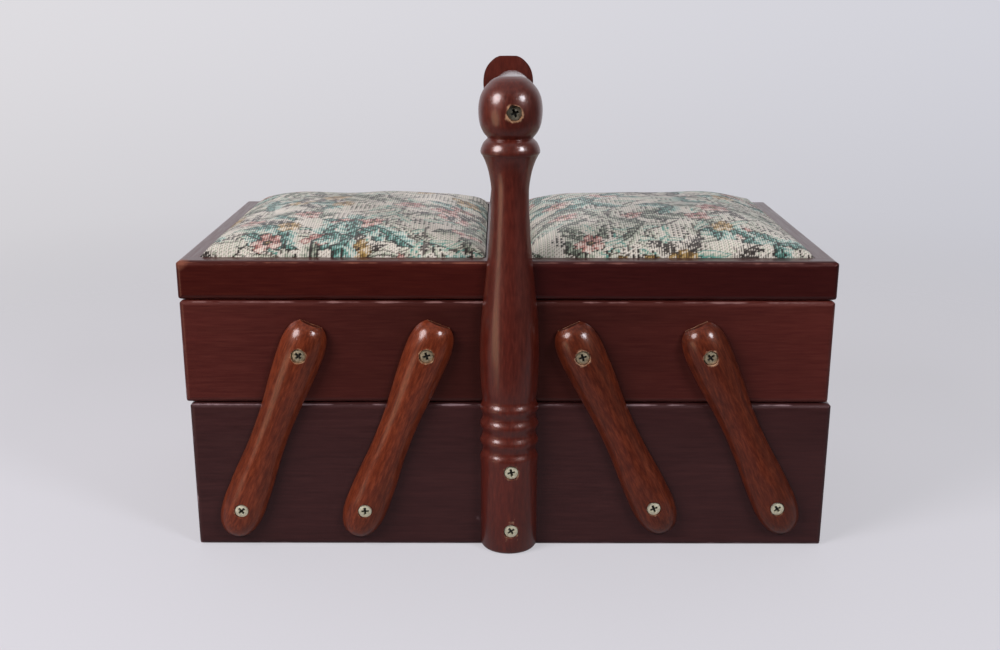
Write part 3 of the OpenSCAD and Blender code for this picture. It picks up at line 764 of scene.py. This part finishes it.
# Cushions

CROWN_POWER = 2.0
SPRING_DROP = 2 * MM
SWELL_START, SWELL_FADE, SWELL_SHARE = 3 * MM, 10 * MM, 0.7


def crown(u):
    """Height share of the cushion's section at u, from -1 at one edge to 1 at the other."""
    return np.clip(1 - np.abs(u)**CROWN_POWER, 0, 1)**(1 / CROWN_POWER)


def around_grid(index):
    """Indices along the four sides of a grid, in one round."""
    return np.concatenate([index[0, :-1], index[:-1, -1], index[-1, :0:-1], index[:0:-1, 0]])


class Cushion:
    """Upholstered pad of one lid, in the space of its CAD cover."""

    def __init__(self, side):
        self.side = side
        self.low, self.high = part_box(f"{side}_lid_cover")
        self.centre = (self.low + self.high) / 2
        self.half = (self.high - self.low) / 2
        self.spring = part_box(f"{side}_lid_front_rail")[1].z - SPRING_DROP
        self.rise = self.high.z - self.spring
        self.seed = 11 + SIDES.index(side)
        self.swell = None

    def plain_height(self, x, y):
        """Crowned height at x, y from the cushion's middle, soft where the sections meet."""
        a = crown(x / self.half.x)
        b = crown(y / self.half.y)
        sharp = 7.0
        soft = (np.maximum(a, 1e-4)**-sharp + np.maximum(b, 1e-4)**-sharp)**(-1 / sharp)
        return self.spring + self.rise * soft * 2**(1 / sharp) * 0.99

    def loose_block(self):
        """Plain crowned block, slightly smaller than the cushion, as a mesh for the cloth."""
        steps, smaller, lower = 36, 0.985, 1.5 * MM
        line = np.sin(np.linspace(-math.pi / 2, math.pi / 2, steps))
        vertices, faces = [], []
        for v in line:
            for u in line:
                x, y = u * self.half.x * smaller, v * self.half.y * smaller
                z = float(self.plain_height(x, y)) - lower
                vertices.append((self.centre.x + x, self.centre.y + y, z))
        count = steps * steps
        vertices += [(x, y, self.low.z + 2 * MM) for x, y, _ in vertices]
        for row in range(steps - 1):
            for column in range(steps - 1):
                a = row * steps + column
                quad = (a, a + 1, a + 1 + steps, a + steps)
                faces += [quad, tuple(k + count for k in quad[::-1])]
        index = np.arange(count).reshape(steps, steps)
        rim = around_grid(index).tolist()
        faces += [(a, b, b + count, a + count) for a, b in zip(rim, rim[1:] + rim[:1])]
        return mesh_of("work_pad", vertices, faces)

    def stuffed(self):
        """Swells the block as cloth under pressure, held below the rails."""
        obj = new_object("work_pad", self.loose_block())
        remesh = obj.modifiers.new("remesh", "REMESH")
        remesh.mode, remesh.voxel_size = "VOXEL", 5 * MM
        obj.data = finished_mesh(obj)
        obj.modifiers.clear()
        held = obj.vertex_groups.new(name="held")
        start = points_of(obj.data)
        held_below = self.spring + 3 * MM
        held.add([k for k, point in enumerate(start) if point[2] < held_below], 1.0, "REPLACE")
        cloth = obj.modifiers.new("cloth", "CLOTH")
        cloth.settings.use_pressure = True
        cloth.settings.uniform_pressure_force = 4
        cloth.settings.vertex_group_mass = "held"
        cloth.settings.effector_weights.gravity = 0
        frames = 20
        for number in range(1, frames + 1):
            SCENE.frame_set(number)
        moved = finished_mesh(obj)
        step = points_of(moved) - start
        length = np.linalg.norm(step, axis=1, keepdims=True)
        most = 6 * MM
        end = start + step * np.minimum(1, most / np.maximum(length, 1e-9))
        moved.vertices.foreach_set("co", end.ravel())
        moved.update()
        self.swell = BVHTree.FromPolygons([v.co[:] for v in moved.vertices],
                                          [p.vertices[:] for p in moved.polygons])
        bpy.data.objects.remove(obj)
        SCENE.frame_set(1)

    def height(self, x, y):
        """Top of the cushion over a grid: the plain crown bent to the swollen pad."""
        z = self.plain_height(x, y)
        if self.swell:
            down = Vector((0, 0, -1))
            for index in np.ndindex(z.shape):
                above = self.centre + Vector((x[index], y[index], 1.0))
                hit = self.swell.ray_cast(above, down)[0]
                edge = min(self.half.x - abs(x[index]), self.half.y - abs(y[index]))
                if hit and hit.z > self.spring:
                    share = SWELL_SHARE * min(1, max(0, (edge - SWELL_START) / SWELL_FADE))
                    z[index] += share * (hit.z - z[index])
        return z

    def even_steps(self, half, pitch):
        """Places along one section, from edge to edge, that are evenly spaced over the curve."""
        fine_steps = 4001
        fine = np.sin(np.linspace(-math.pi / 2, math.pi / 2, fine_steps))
        run, rise = fine * half, crown(fine) * self.rise
        arc = np.concatenate([[0], np.cumsum(np.hypot(np.diff(run), np.diff(rise)))])
        count = 2 * round(arc[-1] / pitch / 2)
        return np.interp(np.linspace(0, arc[-1], count + 1), arc, run), arc[-1]

    def ripple(self, x, y):
        """Uneven stuffing, and small gathers where the cloth is pulled under the rails."""
        rng = random.Random(self.seed)
        total = np.zeros_like(x)
        for length in (90, 64, 45, 33):
            turn, phase = rng.uniform(0, math.tau), rng.uniform(0, math.tau)
            along = (x * math.cos(turn) + y * math.sin(turn)) / MM
            total += 0.005 * length * np.sin(math.tau * along / length + phase)
        to_side, to_end = self.half.x - np.abs(x), self.half.y - np.abs(y)
        gathers = (np.sin(y / MM / 2.9) * np.exp(-((to_side / MM - 7) / 5)**2)
                   + np.sin(x / MM / 2.6 + 1) * np.exp(-((to_end / MM - 7) / 5)**2))
        fade = np.clip(np.minimum(to_side, to_end) / (9 * MM), 0, 1)
        return (total * fade + 0.16 * gathers) * MM

    def build(self, material):
        self.stuffed()
        xs, girth_x = self.even_steps(self.half.x, RIB_MM * MM / 2)
        ys, girth_y = self.even_steps(self.half.y, PICK_MM * MM)
        coarse = 6
        coarse_x, coarse_y = xs[::coarse], ys[::coarse]
        gx, gy = np.meshgrid(xs, ys)
        cx, cy = np.meshgrid(coarse_x, coarse_y)
        bent = self.height(cx, cy) - self.plain_height(cx, cy)
        lift = np.array([np.interp(xs, coarse_x, row) for row in bent])
        lift = np.array([np.interp(ys, coarse_y, column) for column in lift.T]).T
        z = self.plain_height(gx, gy) + lift + self.ripple(gx, gy)
        top = np.stack([gx, gy, z], axis=-1) + np.array([self.centre.x, self.centre.y, 0])
        s = np.linspace(0, girth_x, len(xs)) / MM
        t = np.linspace(0, girth_y, len(ys)) / MM
        self.cloth(top, s, t, material)

    def cloth(self, top, s, t, material):
        """Closed mesh: ribs on top, upright sides and a flat underside."""
        rows, columns = top.shape[:2]
        rib_rise = 0.14 * MM
        top[:, 1::2, 2] += rib_rise
        index = np.arange(rows * columns).reshape(rows, columns)
        quads = np.stack([index[:-1, :-1], index[:-1, 1:], index[1:, 1:], index[1:, :-1]], -1)
        rim = around_grid(index)
        flat = top.reshape(-1, 3)
        skirt = flat[rim].copy()
        skirt[:, 2] = self.low.z
        below = np.arange(len(rim)) + len(flat)
        around = np.stack([rim, below, np.roll(below, -1), np.roll(rim, -1)], -1)
        faces = quads.reshape(-1, 4).tolist() + around.tolist() + [below[::-1].tolist()]
        mesh = bpy.data.meshes.new(f"{self.side}_lid_cushion")
        mesh.from_pydata(np.concatenate([flat, skirt]).tolist(), [], faces)
        woven = Tapestry(s, t, self.seed).woven().reshape(-1, 3)
        # Painted shade: the sides and underside take the darker cream.
        colours = np.concatenate([woven, np.tile(linear(SHADED_CREAM)[:3], (len(rim), 1))])
        dye = mesh.color_attributes.new("dye", "FLOAT_COLOR", "POINT")
        dye.data.foreach_set("color", np.c_[colours, np.ones(len(colours))].ravel())
        place = np.stack(np.meshgrid(s * MM, t * MM), -1).reshape(-1, 2)
        place = np.concatenate([place, place[rim]])
        corner = np.zeros(len(mesh.loops), int)
        mesh.loops.foreach_get("vertex_index", corner)
        mesh.uv_layers.new(name="weave").data.foreach_set("uv", place[corner].ravel())
        mesh.polygons.foreach_set("use_smooth", [True] * len(mesh.polygons))
        mesh.materials.append(material)
        mesh.update()
        obj = new_object(f"{self.side}_lid_cushion", mesh)
        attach(obj, f"{self.side}_lid")
        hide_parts(f"{self.side}_lid_cover", f"{self.side}_lid_pad")


# Screws

def tapered_slot(low_half, low_z, high_half, high_z):
    """Cutter for a recess, between two rectangles of half-sizes (x, y), in mm."""
    corners = ((-1, -1), (1, -1), (1, 1), (-1, 1))
    vertices = [(x * half[0], y * half[1], z) for half, z in ((low_half, low_z), (high_half, high_z))
                for x, y in corners]
    sides = [(k, (k + 1) % 4, (k + 1) % 4 + 4, k + 4) for k in range(4)]
    return mesh_of("slot", vertices, [(0, 1, 2, 3), (4, 5, 6, 7)] + sides)


def cross_head():
    """Pan head with a cross recess, its seat on z = 0, in mm."""
    top = HEAD_TALL + HEAD_DOME
    dome = (HEAD_R**2 + HEAD_DOME**2) / (2 * HEAD_DOME)
    profile, steps = [(HEAD_R - 0.15, 0), (HEAD_R, 0.15)], 9
    for k in range(steps):
        r = HEAD_R * (1 - k / steps)
        profile.append((r, top - dome + math.sqrt(dome**2 - r * r)))
    profile.append((0.2, top))
    head = lathe("head", profile, segments=48)
    half_long, half_wide, depth, end_draft, draft = 2.5, 0.82, 1.5, 0.7, 0.3
    for turn in (0, math.pi / 2):
        slot = tapered_slot((half_long - end_draft, half_wide - draft), top - depth,
                            (half_long, half_wide), top + 0.4)
        slot.transform(Matrix.Rotation(turn, 4, "Z"))
        head = cut_away(head, [slot])
    return darkened_recess(head, top - 0.45)


def slotted_head():
    """Flush countersunk head of a small hinge screw, with one slot, in mm."""
    profile = [(0.8, -1.1), (1.6, -0.1), (1.6, 0), (1.2, 0.06), (0.05, 0.1)]
    slot = tapered_slot((2, 0.2), -0.5, (2, 0.2), 0.5)
    return darkened_recess(cut_away(lathe("small_head", profile, segments=32), [slot]), -0.2)


def darkened_recess(mesh, depth):
    """Marks the points inside a head's recess, which are painted darker."""
    points = points_of(mesh)
    inside = (points[:, 2] < depth) & (np.hypot(points[:, 0], points[:, 1]) < 2.4)
    add_attribute(mesh, "darkening", "FLOAT", inside * 1.0)
    smooth_by_angle(mesh, 28)
    return mesh


def screw_inputs(tree):
    """Sockets of the screw tree, and the node outputs that hand them on."""
    sockets = (
        ("Places", "NodeSocketGeometry", None), ("Head", "NodeSocketObject", None),
        ("Head Scale", "NodeSocketFloat", MM), ("Shank Radius", "NodeSocketFloat", SHANK_R * MM),
        ("Shank Length", "NodeSocketFloat", PIVOT_SHANK * MM),
        ("Turn Spread", "NodeSocketFloat", 0.5), ("Seed", "NodeSocketInt", 3),
        ("Finish", "NodeSocketMaterial", None),
    )
    for name, kind, value in sockets:
        socket = tree.interface.new_socket(name, in_out="INPUT", socket_type=kind)
        if value is not None:
            socket.default_value = value
    tree.interface.new_socket("Screws", in_out="OUTPUT", socket_type="NodeSocketGeometry")
    return add(tree, "NodeGroupInput").outputs


def screw_shape(tree, given):
    """The head, sized, with its shank below it."""
    head = add(tree, "GeometryNodeObjectInfo", {"Object": given["Head"]})
    size = add(tree, "ShaderNodeCombineXYZ", {k: given["Head Scale"] for k in ("X", "Y", "Z")})
    sized = add(tree, "GeometryNodeTransform",
                {"Geometry": head.outputs["Geometry"], "Scale": size.outputs[0]})
    shank = add(tree, "GeometryNodeMeshCylinder",
                {"Vertices": 24, "Radius": given["Shank Radius"], "Depth": given["Shank Length"]})
    down = maths(tree, "MULTIPLY", given["Shank Length"], -0.5)
    offset = add(tree, "ShaderNodeCombineXYZ", {"Z": down})
    lowered = add(tree, "GeometryNodeTransform",
                  {"Geometry": shank.outputs["Mesh"], "Translation": offset.outputs[0]})
    whole = add(tree, "GeometryNodeJoinGeometry")
    tree.links.new(sized.outputs[0], whole.inputs[0])
    tree.links.new(lowered.outputs[0], whole.inputs[0])
    return whole.outputs[0]


def screw_tree():
    """Geometry Nodes: a head and a shank on every point, turned to face its own way."""
    tree = bpy.data.node_groups.new("screw_set", "GeometryNodeTree")
    given = screw_inputs(tree)
    aim = add(tree, "GeometryNodeInputNamedAttribute", {"Name": "aim"}, data_type="FLOAT_VECTOR")
    facing = add(tree, "FunctionNodeAlignRotationToVector", {"Vector": aim.outputs["Attribute"]},
                 axis="Z")
    turn = add(tree, "GeometryNodeInputNamedAttribute", {"Name": "turn"}, data_type="FLOAT")
    low = maths(tree, "MULTIPLY", given["Turn Spread"], -1.0)
    loose = add(tree, "FunctionNodeRandomValue",
                {2: low, 3: given["Turn Spread"], "Seed": given["Seed"]}, data_type="FLOAT")
    angle = maths(tree, "ADD", turn.outputs["Attribute"], loose.outputs[1])
    spin = add(tree, "FunctionNodeAxisAngleToRotation", {"Axis": (0, 0, 1), "Angle": angle})
    turned = add(tree, "FunctionNodeRotateRotation",
                 {"Rotation": facing.outputs[0], "Rotate By": spin.outputs[0]},
                 rotation_space="LOCAL")
    spread = add(tree, "GeometryNodeInstanceOnPoints",
                 {"Points": given["Places"], "Instance": screw_shape(tree, given),
                  "Rotation": turned.outputs[0]})
    real = add(tree, "GeometryNodeRealizeInstances", {0: spread.outputs[0]})
    finished = add(tree, "GeometryNodeSetMaterial",
                   {"Geometry": real.outputs[0], "Material": given["Finish"]})
    add(tree, "NodeGroupOutput", {"Screws": finished.outputs[0]})
    return tree


def screw_set(node, places, head, tree, body, material, shank_r, shank_long, spread=0.0):
    """The screws of one CAD node: places holds (point, way it faces, turn of its recess)."""
    mesh = bpy.data.meshes.new(f"{node}_finished")
    mesh.from_pydata([p for p, _, _ in places], [], [])
    add_attribute(mesh, "aim", "FLOAT_VECTOR", [a for _, a, _ in places])
    add_attribute(mesh, "turn", "FLOAT", [t for _, _, t in places])
    obj = new_object(f"{node}_finished", mesh)
    modifier = obj.modifiers.new("screws", "NODES")
    modifier.node_group = tree
    names = {item.name: item.identifier for item in tree.interface.items_tree
             if item.in_out == "INPUT"}
    for name, value in (("Head", head), ("Head Scale", MM), ("Shank Radius", shank_r * MM),
                        ("Shank Length", shank_long * MM), ("Turn Spread", spread),
                        ("Finish", material)):
        modifier[names[name]] = value
    plain = finished_mesh(obj)
    obj.modifiers.clear()
    obj.data = plain
    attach(obj, body)
    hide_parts(node)
    return obj


# Stage, light and camera

BACKDROP, BACKDROP_SHADE, PAPER = "#dfdde1", "#d3d3db", "#d1d0d6"
GLOW_SEEN, GLOW_MIRRORED = 0.93, 0.16
GLOW_SHARE_SEEN, GLOW_SHARE_MIRRORED = 0.6, 0.8
ROOM_TINT, CARD_TINT = "#f2f0f6", "#ffd9b4"
CARD_WAY, CARD_EDGE, CARD_STRENGTH = (-0.81, -0.53, -0.26), (0.955, 0.985), 1.9
FOLD_Z = -0.28


def paper_floor():
    """Seamless white paper, matt, that fades out round the object into the backdrop. The camera
    sees part of it as plain glow, and glossy reflections see it dim."""
    material, tree = new_material("seamless_paper")
    place = coordinate(tree, "Object")
    fibre = noise(tree, place, 900.0, 3.0)
    colour = scaled(tree, linear(PAPER)[:3], span(tree, fibre, 0.0, 1.0, 0.96, 1.04))
    paper = add(tree, "ShaderNodeBsdfDiffuse", {"Color": colour}).outputs[0]
    ray = add(tree, "ShaderNodeLightPath").outputs
    strength = span(tree, ray["Is Glossy Ray"], 0.0, 1.0, GLOW_SEEN, GLOW_MIRRORED)
    glow = add(tree, "ShaderNodeEmission", {"Color": linear(BACKDROP), "Strength": strength})
    mirrored = maths(tree, "MULTIPLY", ray["Is Glossy Ray"], GLOW_SHARE_MIRRORED)
    share = maths(tree, "MULTIPLY_ADD", ray["Is Camera Ray"], GLOW_SHARE_SEEN, mirrored)
    lit = mix_shaders(tree, share, paper, glow.outputs[0])
    nothing = add(tree, "ShaderNodeBsdfTransparent").outputs[0]
    away = add(tree, "ShaderNodeVectorMath", {0: place}, operation="LENGTH").outputs["Value"]
    round_fade = span(tree, away, 0.25, 1.1, 1.0, 0.0, eased=True)
    front_fade = span(tree, axes_of(tree, place)["Y"], -0.36, -0.2, eased=True)
    fade = maths(tree, "MULTIPLY", round_fade, front_fade)
    add(tree, "ShaderNodeOutputMaterial", {"Surface": mix_shaders(tree, fade, nothing, lit)})
    half = 2.0
    corners = [(-half, -half, 0), (half, -half, 0), (half, half, 0), (-half, half, 0)]
    mesh = bpy.data.meshes.new("floor")
    mesh.from_pydata(corners, [], [(0, 1, 2, 3)])
    mesh.materials.append(material)
    new_object("floor", mesh)


def studio_world():
    """Pale backdrop, a little darker at the fold of the paper. The room behind the camera is dim
    but for a warm card, low at the left, that gives the turnings their second highlight."""
    world = bpy.data.worlds.new("studio")
    world.use_nodes = True
    tree = world.node_tree
    tree.nodes.clear()
    way = coordinate(tree, "Generated")
    x, y, z = axes_of(tree, way)
    shade = blend(tree, span(tree, x, -0.4, 0.4), linear(BACKDROP), linear(BACKDROP_SHADE))
    from_fold = maths(tree, "ABSOLUTE", maths(tree, "SUBTRACT", z, FOLD_Z))
    seen = add(tree, "ShaderNodeBackground",
               {"Color": shade, "Strength": span(tree, from_fold, 0.0, 0.3, 0.85, 1.0, eased=True)})
    behind = span(tree, maths(tree, "MULTIPLY_ADD", z, 0.35, y), 0.15, 0.85, 0.07, 0.85, eased=True)
    toward = add(tree, "ShaderNodeVectorMath", {0: way, 1: CARD_WAY}, operation="DOT_PRODUCT")
    card = span(tree, toward.outputs["Value"], *CARD_EDGE, eased=True)
    room = add(tree, "ShaderNodeBackground",
               {"Color": blend(tree, card, linear(ROOM_TINT), linear(CARD_TINT)),
                "Strength": maths(tree, "MULTIPLY_ADD", card, CARD_STRENGTH, behind)})
    ray = add(tree, "ShaderNodeLightPath").outputs
    mixed = mix_shaders(tree, ray["Is Camera Ray"], room.outputs[0], seen.outputs[0])
    add(tree, "ShaderNodeOutputWorld", {"Surface": mixed})
    SCENE.world = world


def softbox(name, azimuth, elevation, away, size, watts, colour):
    """Round soft lamp aimed at the object's middle; azimuth 0 is in front, positive right."""
    lamp = bpy.data.lights.new(name, "AREA")
    lamp.shape, lamp.size, lamp.energy = "DISK", size, watts
    lamp.color = linear(colour)[:3]
    obj = new_object(name, lamp)
    a, e = math.radians(azimuth), math.radians(elevation)
    aim = Vector((0, 0, 0.12))
    way = Vector((math.sin(a) * math.cos(e), -math.cos(a) * math.cos(e), math.sin(e)))
    obj.location = aim + away * way
    obj.rotation_euler = way.to_track_quat("Z", "Y").to_euler()


def photo_camera():
    camera = bpy.data.cameras.new("camera")
    camera.lens, camera.sensor_width = 42.6, 36.0
    obj = new_object("camera", camera)
    tilt, roll = math.radians(74.10), 0.0018
    turn = Matrix.Rotation(tilt, 4, "X") @ Matrix.Rotation(roll, 4, "Z")
    obj.matrix_world = Matrix.Translation((-0.00588, -0.70024, 0.3019)) @ turn
    SCENE.camera = obj


# Assembly

def board_woods():
    """Mahogany of each layer, with its grain along X (long) or Y (short)."""
    woods = {}
    looks = {
        "base": dict(tones=BASE_TONES, gloss=0.36, specular=0.34, coat=0.26, chips=0.5,
                     glow="#ffe2e4"),
        # The tray is painted darker in its middle, where the post shades it, and lighter towards its
        # ends.
        "tray": dict(tones=TRAY_TONES, gloss=0.34, specular=0.3, coat=0.3, glow="#ffc0b2",
                     painted_light_along_x=(0.62, 1.55)),
        "left_lid": dict(tones=LID_TONES, gloss=0.28, specular=0.3, coat=0.4, glow="#ffa890",
                         scuffed=LID_CORNER),
        # The right lid takes the darker tones: painted shade.
        "right_lid": dict(tones=RIGHT_LID_SHADED_TONES, gloss=0.28, specular=0.3, coat=0.4,
                          glow="#ffb0a4"),
    }
    for layer, look in looks.items():
        for way, along in (("long", "X"), ("short", "Y")):
            woods[layer, way] = mahogany(f"lacquered_mahogany_{layer}_{way}", along=along,
                                         figure=0.5, **look)
    return woods


def finish_boards():
    """Gives the CAD meshes their materials, with the grain along each board."""
    boards = board_woods()
    ply = plywood("birch_ply")
    brass = plated_metal("tumbled_brass", "#c9a45c", "#9c7a3e", "#4a3a22", 0.34)
    zinc = plated_metal("zinc_washer", "#b9b6ae", "#8f8b82", "#3a352e", 0.38)
    finishes = {"base_floor": ply, "base_pivot_washers": zinc}
    for piece in ("front", "back"):
        finishes[f"base_{piece}_board"] = boards["base", "long"]
    for side in SIDES:
        finishes[f"base_{side}_end"] = boards["base", "short"]
        for piece in ("front", "back"):
            finishes[f"{side}_tray_{piece}"] = boards["tray", "long"]
            finishes[f"{side}_lid_{piece}_rail"] = boards[f"{side}_lid", "long"]
        for piece in ("outer", "inner"):
            finishes[f"{side}_tray_{piece}_end"] = boards["tray", "short"]
            finishes[f"{side}_lid_{piece}_rail"] = boards[f"{side}_lid", "short"]
        finishes[f"{side}_tray_divider"] = boards["tray", "short"]
        finishes[f"{side}_tray_pivot_washers"] = zinc
        for piece in ("tray_floor", "lid_board"):
            finishes[f"{side}_{piece}"] = ply
        for piece in ("tray_hinge_leaves", "lid_hinge_leaves", "hinge_pins"):
            finishes[f"{side}_{piece}"] = brass
    for node, material in finishes.items():
        mesh = frame["nodes"][node].data
        mesh.materials.clear()
        mesh.materials.append(material)
    return brass


def make_arms():
    outline = arm_outline()
    plain = split_turned("arm", outline, ARM_FLAT)
    cutters = [well_cutter(0, z, ARM_SEAT, crest_at(outline, z, ARM_FLAT), seed, torn=0.012)
               for z, seed in ((0.0, 5), (ARM_REACH / MM, 6))]
    arm = cut_away(plain, cutters)
    # The right arms take the darker tones: painted shade.
    woods = {side: mahogany(f"lacquered_mahogany_{side}_arm", tones, "Z", turned=True, gloss=0.36,
                            specular=0.5, coat=0.7, glow="#f0a888", brushed=0.1)
             for side, tones in zip(SIDES, (ARM_TONES, RIGHT_ARM_SHADED_TONES))}
    wear = [(0, 0, ARM_WEAR_BELOW), (0, ARM_REACH / MM, ARM_WEAR_ABOVE)]
    end = outline[-1][0]
    number = 0
    for (side, row), place in LOWER_PIVOTS.items():
        lean = math.atan2(LEAN[side].x, LEAN[side].z)
        for face, flip in (("front", 1), ("back", -1)):
            at = Matrix.Translation((place.x, flip * ARM_BACK_Y, place.z))
            matrix = at @ Matrix.Scale(flip, 4, (0, 1, 0)) @ Matrix.Rotation(lean, 4, "Y")
            offset = (0.031 * number, 0.017 * number, 0.23 * number)
            node = f"{side}_{row}_arm_{face}"
            placed_turning(f"{node}_turned", arm, matrix, wear, f"{side}_{row}_arms", node,
                           woods[side], offset, end)
            number += 1


def make_posts():
    outline = post_outline()
    plain = split_turned("post", outline, POST_FLAT)
    handle_z = HANDLE.z / MM
    handle_x = (HANDLE.x - POST_X) / MM
    wells = [(POST_SCREW_SIDE, z, POST_SEAT, seed, 0.015)
             for z, seed in zip(POST_SCREW_HEIGHTS, (21, 22))]
    wells.append((handle_x, handle_z, HANDLE_SEAT, 33, 0.08))
    post = cut_away(plain, [well_cutter(x, z, seat, crest_at(outline, z, POST_FLAT), seed, torn)
                            for x, z, seat, seed, torn in wells])
    wood = mahogany("lacquered_mahogany_post", POST_TONES, "Z", turned=True, gloss=0.32, figure=0.8,
                    specular=0.6, coat=0.9, glow="#f4c4b6", brushed=0.1)
    wear = [(POST_SCREW_SIDE, z, POST_WEAR) for z in POST_SCREW_HEIGHTS]
    wear.append((handle_x, handle_z, TORN_WEAR))
    for face, flip in (("front", 1), ("back", -1)):
        matrix = Matrix.Translation((POST_X, flip * POST_BACK_Y, 0)) @ Matrix.Scale(flip, 4, (0, 1, 0))
        placed_turning(f"{face}_post_turned", post, matrix, wear, "base", f"{face}_post",
                       wood, (0.4, 0.2, 0.1 + flip))
    make_handle(wood)


def make_handle(wood):
    """Barrel-shaped bar between the two balls."""
    half, steps = abs(POST_BACK_Y) / MM, 40
    profile = []
    for k in range(-steps, steps + 1):
        swell = 1 - (k / steps)**2
        radius = HANDLE_END_R + (HANDLE_MIDDLE_R - HANDLE_END_R) * swell
        profile.append((radius, k / steps * half))
    bar = lathe("handle", profile, segments=72)
    matrix = Matrix.Translation((HANDLE.x, 0, HANDLE.z)) @ Matrix.Rotation(math.pi / 2, 4, "X")
    placed_turning("handle_bar_turned", bar, matrix, [], "base", "handle_bar", wood,
                   (0.9, 0.6, 0.2))


def pivot_places(spots, seat):
    """Screws at both ends of pivots along Y: spots holds (x, z, turn of the recess)."""
    return [((x, -flip * seat, z), Vector((0, -flip, 0)), turn)
            for x, z, turn in spots for flip in (1, -1)]


def pivot_screws(body, centres, turns, head, tree, finish):
    """Screws of a body's pivots, front and back."""
    node = f"{body}_pivot_screws"
    seat = abs(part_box(node)[0].y) - (HEAD_TALL + HEAD_DOME) * MM
    spots = [(p.x, p.z, turn) for p, turn in zip(centres, turns)]
    screw_set(node, pivot_places(spots, seat), head, tree, body, finish, SHANK_R, PIVOT_SHANK)


def hinge_screws(side, layer, way, head, tree, finish):
    """Screws of the hinge leaves on a tray or a lid, facing up (1) or down (-1)."""
    node = f"{side}_{layer}_hinge_screws"
    low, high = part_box(node)
    x, level = (low.x + high.x) / 2, high.z if way > 0 else low.z
    places = [((x, y * MM, level), Vector((0, 0, way)), 0.3) for y in HINGE_SCREW_Y]
    screw_set(node, places, head, tree, f"{side}_{layer}", finish, HINGE_SHANK_R,
              HINGE_SHANK, spread=HINGE_TURN_SPREAD)


def make_post_screws(tree, head, finish):
    """Screws of the posts; the ones in the balls are darkened all over as painted shade of their
    deep torn holes.
    """
    x = POST_X + POST_SCREW_SIDE * MM
    foot = [(x, z * MM, turn) for z, turn in zip(POST_SCREW_HEIGHTS, (0.6, 0.2))]
    places = (pivot_places(foot, POST_SEAT * MM - POST_BACK_Y)
              + pivot_places([(HANDLE.x, HANDLE.z, 0.4)], HANDLE_SEAT * MM - POST_BACK_Y))
    screws = screw_set("post_screws", places, head, tree, "base", finish, SHANK_R, POST_SHANK)
    # Painted shade: the screws in the balls are darkened, as they sit deep in torn holes.
    blackened = points_of(screws.data)[:, 2] > HANDLE.z - 10 * MM
    darkening = screws.data.attributes["darkening"].data
    for index in np.flatnonzero(blackened):
        darkening[int(index)].value = max(darkening[int(index)].value, TORN_HOLE_SHADE)


def make_screws(brass):
    tree = screw_tree()
    cross = new_object("work_cross_head", cross_head())
    slotted = new_object("work_slotted_head", slotted_head())
    yellow = plated_metal("yellow_zinc_screw", "#fbf6da", "#e2dcbc", "#1d1a12", 0.48)
    nickel = plated_metal("nickel_screw", "#cdc0a2", "#988b70", "#1f1c18", 0.42)
    pivot_screws("base", LOWER_PIVOTS.values(), (0.70, 0.05, 0.62, 0.4), cross, tree, yellow)
    for side in SIDES:
        ups = [place for key, place in UPPER_PIVOTS.items() if key[0] == side]
        pivot_screws(f"{side}_tray", ups, (0.75, 0.3), cross, tree, nickel)
        for layer, way in (("tray", 1), ("lid", -1)):
            hinge_screws(side, layer, way, slotted, tree, brass)
    make_post_screws(tree, cross, yellow)
    for head in (cross, slotted):
        bpy.data.objects.remove(head)


photo_camera()
paper_floor()
studio_world()
softbox("softbox_left", azimuth=-52, elevation=30, away=1.3, size=0.62, watts=14.6, colour="#f9f4f8")
softbox("softbox_right", azimuth=44, elevation=31, away=1.3, size=0.36, watts=8.4, colour="#f4f7ff")
softbox("softbox_above", azimuth=0, elevation=74, away=1.6, size=1.60, watts=1.6, colour="#fbf8ff")
brass = finish_boards()
make_arms()
make_posts()
make_screws(brass)
cloth = tapestry_cloth("cotton_tapestry")
for side in SIDES:
    Cushion(side).build(cloth)
SCENE.view_settings.view_transform = "Standard"
